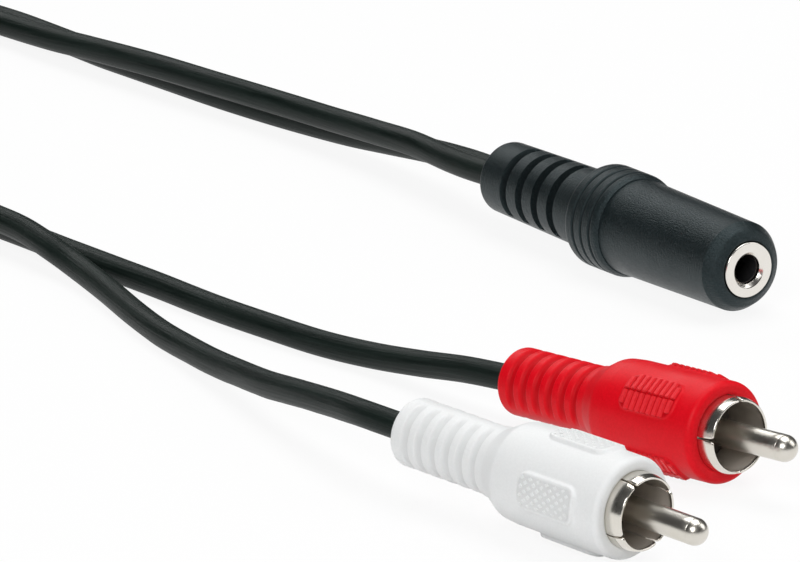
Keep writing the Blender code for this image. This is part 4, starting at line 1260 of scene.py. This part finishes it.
@dataclass
class Cords:
    """The twin cord, from the socket through its coil to the split, and the two leads."""

    socket: Placement
    white: Placement
    red: Placement
    socket_length: float = 50.1
    plug_length: float = 37.3
    core_radius: float = 1.6
    web: float = 0.62
    coil: Coil = field(default_factory=Coil)
    twin_route: tuple = (
        (-70.5, 35.7, 6.2, 12), (-75.9, 36.2, 5.9, 13), (-85.6, 37.3, 5.2, 26),
        (-96.0, 37.8, 4.2, 36), (-105.0, 37.7, 3.5, 44), (-117.3, 37.0, 3.05, 50),
        (-129.4, 35.9, 2.9, 49), (-141.8, 35.0, 2.8, 43), (-154.7, 34.2, 2.5, 32),
        (-163.6, 33.8, 2.3, 20), (-177.1, 33.3, 2.1, 12), (-188.5, 31.0, 2.5, 26),
        (-198.2, 24.6, 3.1, 50), (-204.6, 15.0, 3.7, 72), (-206.9, 3.5, 4.1, 86),
        (-206.9, -10.0, 4.15, 90), (-206.9, -29.5, 4.1, 90),
    )
    tail_route: tuple = (
        (-145.5, -65.5, 10.8, 90), (-137.3, -60.9, 10.2, 91), (-129.9, -54.9, 9.2, 95),
        (-124.4, -47.2, 7.9, 101), (-121.3, -38.6, 6.5, 109), (-118.0, -30.5, 5.2, 119),
        (-112.4, -24.4, 4.0, 130), (-106.2, -21.4, 3.1, 138), (-101.4, -20.5, 2.85, 140),
    )
    white_route: tuple = (
        (-102.3, -21.85, 3.92), (-100.2, -21.5, 3.88), (-93.7, -21.3, 3.85), (-87.9, -21.2, 3.7),
        (-81.2, -21.5, 3.05), (-75.1, -21.7, 2.1), (-65.8, -23.5, 1.7), (-55.9, -26.1, 1.65),
        (-47.1, -28.1, 1.65), (-39.4, -29.5, 1.9), (-31.4, -31.2, 2.5), (-23.2, -32.9, 3.4),
        (-14.5, -34.9, 4.6), (-5.6, -36.5, 6.0), (3.7, -37.9, 7.3), (11.6, -38.9, 8.15),
    )
    red_route: tuple = (
        (-102.3, -19.42, 1.86), (-100.2, -18.98, 1.7), (-96.9, -18.7, 1.65), (-90.6, -18.4, 1.65),
        (-83.9, -18.2, 1.65), (-77.9, -17.9, 1.65), (-71.8, -17.6, 1.65), (-63.8, -17.2, 1.65),
        (-52.4, -16.9, 1.65), (-42.2, -16.0, 1.65), (-32.4, -14.9, 1.7), (-23.7, -13.5, 2.1),
        (-15.0, -12.6, 3.1), (-6.2, -12.0, 4.4),
    )

    def declare(self, route: np.ndarray) -> None:
        """Gather every third point of a jacket's route and its end, in metres; nothing is done with them.
        """
        places = [tuple(point[:3] * MM) for point in route[::3]]
        places.append(tuple(route[-1][:3] * MM))

    def twin(self, finishes: Finishes) -> bpy.types.Object:
        """Build the twin cord."""
        start = [(*self.socket.along(-self.socket_length + depth), 12.0) for depth in (2.6, 1.2, 0.0)]
        knots = start + list(self.twin_route) + self.coil.knots() + list(self.tail_route)
        jacket = Jacket("twin_jacket", twin_section(self.core_radius, self.web, 19))
        route = smooth_route(knots, jacket.step)
        item = finishes.dress(jacket.sweep(route), "cord_jacket")
        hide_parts("twin_cord", "cord_coil", "twin_tail")
        self.declare(route)
        return item

    def lead(self, name: str, route: Iterable[Sequence[float]], plug: Placement, torn_at: float,
             finishes: Finishes) -> bpy.types.Object:
        """Build one lead, from its plug back to the split."""
        end = [plug.along(-self.plug_length + depth) for depth in (2.6, 1.2, 0.0)]
        knots = [(*place, 0.0) for place in end + list(reversed(list(route)))]
        section = single_section(self.core_radius, 40, torn_at, 0.14)
        jacket = Jacket(name + "_jacket", section, 0.9)
        points = smooth_route(knots, jacket.step)
        item = finishes.dress(jacket.sweep(points, torn_web), "cord_jacket")
        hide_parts(name + "_lead")
        self.declare(points)
        return item

    def build(self, finishes: Finishes) -> list[bpy.types.Object]:
        return [self.twin(finishes), self.lead("white", self.white_route, self.white, 290.0, finishes),
                self.lead("red", self.red_route, self.red, 250.0, finishes)]


def torn_web(run: float) -> float:
    """Return how high the torn web's ridge stands at a distance along a lead, in waves."""
    waves = ((0.08, 0.9, 0.0), (0.12, 0.37, 1.0), (0.04, 2.3, 0.0))
    return 0.6 + sum(height * math.sin(run * rate + start) for height, rate, start in waves)


# Studio


@dataclass(frozen=True)
class Softbox:
    """A soft rectangular lamp that looks at the middle of the view."""

    name: str
    place: tuple[float, float, float]
    size: tuple[float, float]
    watts: float

    def hang(self, target: Vector) -> None:
        """Add the lamp to the scene."""
        data = bpy.data.lights.new(self.name, "AREA")
        data.shape = "RECTANGLE"
        data.size, data.size_y = self.size
        data.energy = self.watts
        lamp = linked(self.name, data)
        lamp.location = self.place
        lamp.rotation_euler = facing(self.place, target)


@dataclass
class Studio:
    """The pale floor, the lamps, the dark cards, the room and the camera."""

    target: tuple[float, float, float] = (-0.0534, 0.0111, 0.0)
    camera_place: tuple[float, float, float] = (1.0522, -0.7597, 0.3969)
    lens: float = 518.44
    sensor: float = 36.0
    boxes: tuple[Softbox, ...] = (
        Softbox("top_box", (-0.05, 0.15, 1.0), (0.9, 0.7), 7.6),
        Softbox("far_box", (-1.15, 0.25, 0.75), (0.8, 0.5), 3.2),
        Softbox("side_box", (0.55, 0.75, 0.55), (0.5, 0.7), 2.5),
        Softbox("front_box", (0.6, -0.75, 0.6), (0.5, 0.4), 6.0),
    )

    dark_cards: tuple[tuple[str, Corner, tuple[float, float]], ...] = (
        ("far_left_card", (-0.92, -0.62, 0.27), (1.1, 0.44)),
        ("right_card", (0.70, 0.45, 0.22), (0.32, 0.30)),
        ("left_card", (0.25, -0.80, 0.25), (0.30, 0.36)),
    )

    def camera(self) -> None:
        """Set the camera at the photograph's viewing angle."""
        data = bpy.data.cameras.new("camera")
        data.sensor_width = self.sensor
        data.lens = self.lens
        data.clip_start, data.clip_end = 0.1, 20.0
        camera = linked("camera", data)
        camera.location = self.camera_place
        camera.rotation_euler = facing(self.camera_place, self.target)
        bpy.context.scene.camera = camera

    def floor(self) -> None:
        """Lay the floor, which glows to the camera and in reflections, and keeps a faint shadow."""
        sheet = MaterialSheet("floor_paper")
        sheet.fix(Base_Color=(0.9, 0.9, 0.9, 1.0), Roughness=0.9, Specular_IOR_Level=0.1)
        glow = sheet.add("Emission")
        mix = sheet.add("MixShader")
        sheet.link(sheet.ranged(sheet.direct_rays(), 0.0, 0.9, 0.0, 1.0), mix.inputs["Fac"])
        sheet.link(sheet.shader.outputs["BSDF"], mix.inputs[1])
        sheet.link(glow.outputs["Emission"], mix.inputs[2])
        sheet.link(mix.outputs["Shader"], sheet.tree.nodes["Material Output"].inputs["Surface"])
        item = flat_sheet("floor", (6.0, 6.0), sheet.material)

    def room(self) -> None:
        """Light the room: white to the camera and in reflections, and a soft grey elsewhere."""
        world = bpy.data.worlds.new("room")
        bpy.context.scene.world = world
        world.use_nodes = True
        sheet = NodeSheet(world.node_tree)
        height = sheet.add("SeparateXYZ")
        sheet.link(sheet.add("TexCoord").outputs["Generated"], height.inputs[0])
        mix = sheet.add("Mix")
        mix.inputs["B"].default_value = 1.0
        sheet.link(sheet.ranged(height.outputs["Z"], 0.48, 0.78, 0.0, 0.7), mix.inputs["A"])
        sheet.link(sheet.direct_rays(), mix.inputs["Factor"])
        sheet.link(mix.outputs["Result"], sheet.tree.nodes["Background"].inputs["Strength"])

    def cards(self) -> None:
        """Stand dark cards round the cable, out of the camera's sight, for its parts to reflect."""
        sheet = MaterialSheet("dark_card")
        sheet.fix(Base_Color=(0.01, 0.01, 0.01, 1.0), Roughness=0.9)
        for name, centre, size in self.dark_cards:
            card = flat_sheet(name, size, sheet.material)
            card.location = centre
            card.rotation_euler = facing(centre, self.target, "Z")
            card.visible_camera = card.visible_diffuse = card.visible_shadow = False

    def build(self) -> None:
        """Set the whole studio."""
        self.camera()
        self.floor()
        self.room()
        self.cards()
        for box in self.boxes:
            box.hang(Vector(self.target))
        bpy.context.scene.view_settings.view_transform = "Standard"


WHITE_MARKS = GripMarks(MarkShape.DIAMOND, columns=6, rows=7, pitch=1.3, row_pitch=0.52,
                        stagger=0.65, front=-10.45, radius=6.22, length=1.0, width=1.24, height=0.15,
                        taper=0.82)
RED_MARKS = GripMarks(MarkShape.BRICK, columns=9, rows=2, pitch=0.95, row_pitch=2.42, stagger=0.0,
                      front=-10.15, radius=6.12, length=2.3, width=0.83, height=0.32, taper=0.84,
                      end_share=0.72)

SOCKET_PLACE = Placement(-15.1, 35.6, 6.5, roll=-27.7)
WHITE_PLACE = Placement(56.4, -31.6, 6.378, 9.8, -2.5, -4.8)
RED_PLACE = Placement(39.9, -6.45, 6.886, 6.8, 2.7, -42.0)

INNER_FINISHES = {
    "socket_insulator": "contact_carrier", "tip_spring": "spring_metal", "ring_spring": "spring_metal",
    "sleeve_tag": "satin_nickel", "socket_pigtail": "copper", "left_core": "core_insulation",
    "right_core": "core_insulation", "left_conductor": "copper", "right_conductor": "copper",
    "white_core": "core_insulation", "white_conductor": "copper", "white_pigtail": "copper",
    "red_core": "core_insulation", "red_conductor": "copper", "red_pigtail": "copper",
}


def main() -> None:
    """Build the cable's looks in order and report each piece."""
    logging.basicConfig(level=logging.INFO, format="%(name)s: %(message)s")
    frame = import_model()
    Studio().build()
    finishes = Finishes()
    parts = [
        Cords(SOCKET_PLACE, WHITE_PLACE, RED_PLACE).build(finishes),
        [CoilTie().build(finishes)],
        JackSocket(SOCKET_PLACE).build(finishes),
        PhonoPlug(PlugColour.WHITE, WHITE_PLACE, WHITE_MARKS, pad_frame=0.5, pad_sink=0.15,
                  slot_turn=32.0).build(finishes),
        PhonoPlug(PlugColour.RED, RED_PLACE, RED_MARKS, pad_frame=0.05, pad_sink=0.27,
                  slot_turn=37.0).build(finishes),
    ]
    for node, finish in INNER_FINISHES.items():
        finishes.redress(frame["nodes"][node], finish)
    for item in [piece for part in parts for piece in part]:
        LOG.info("%s has %d faces", item.name, len(item.data.polygons))
    bpy.context.view_layer.update()


if __name__ == "__main__":
    main()
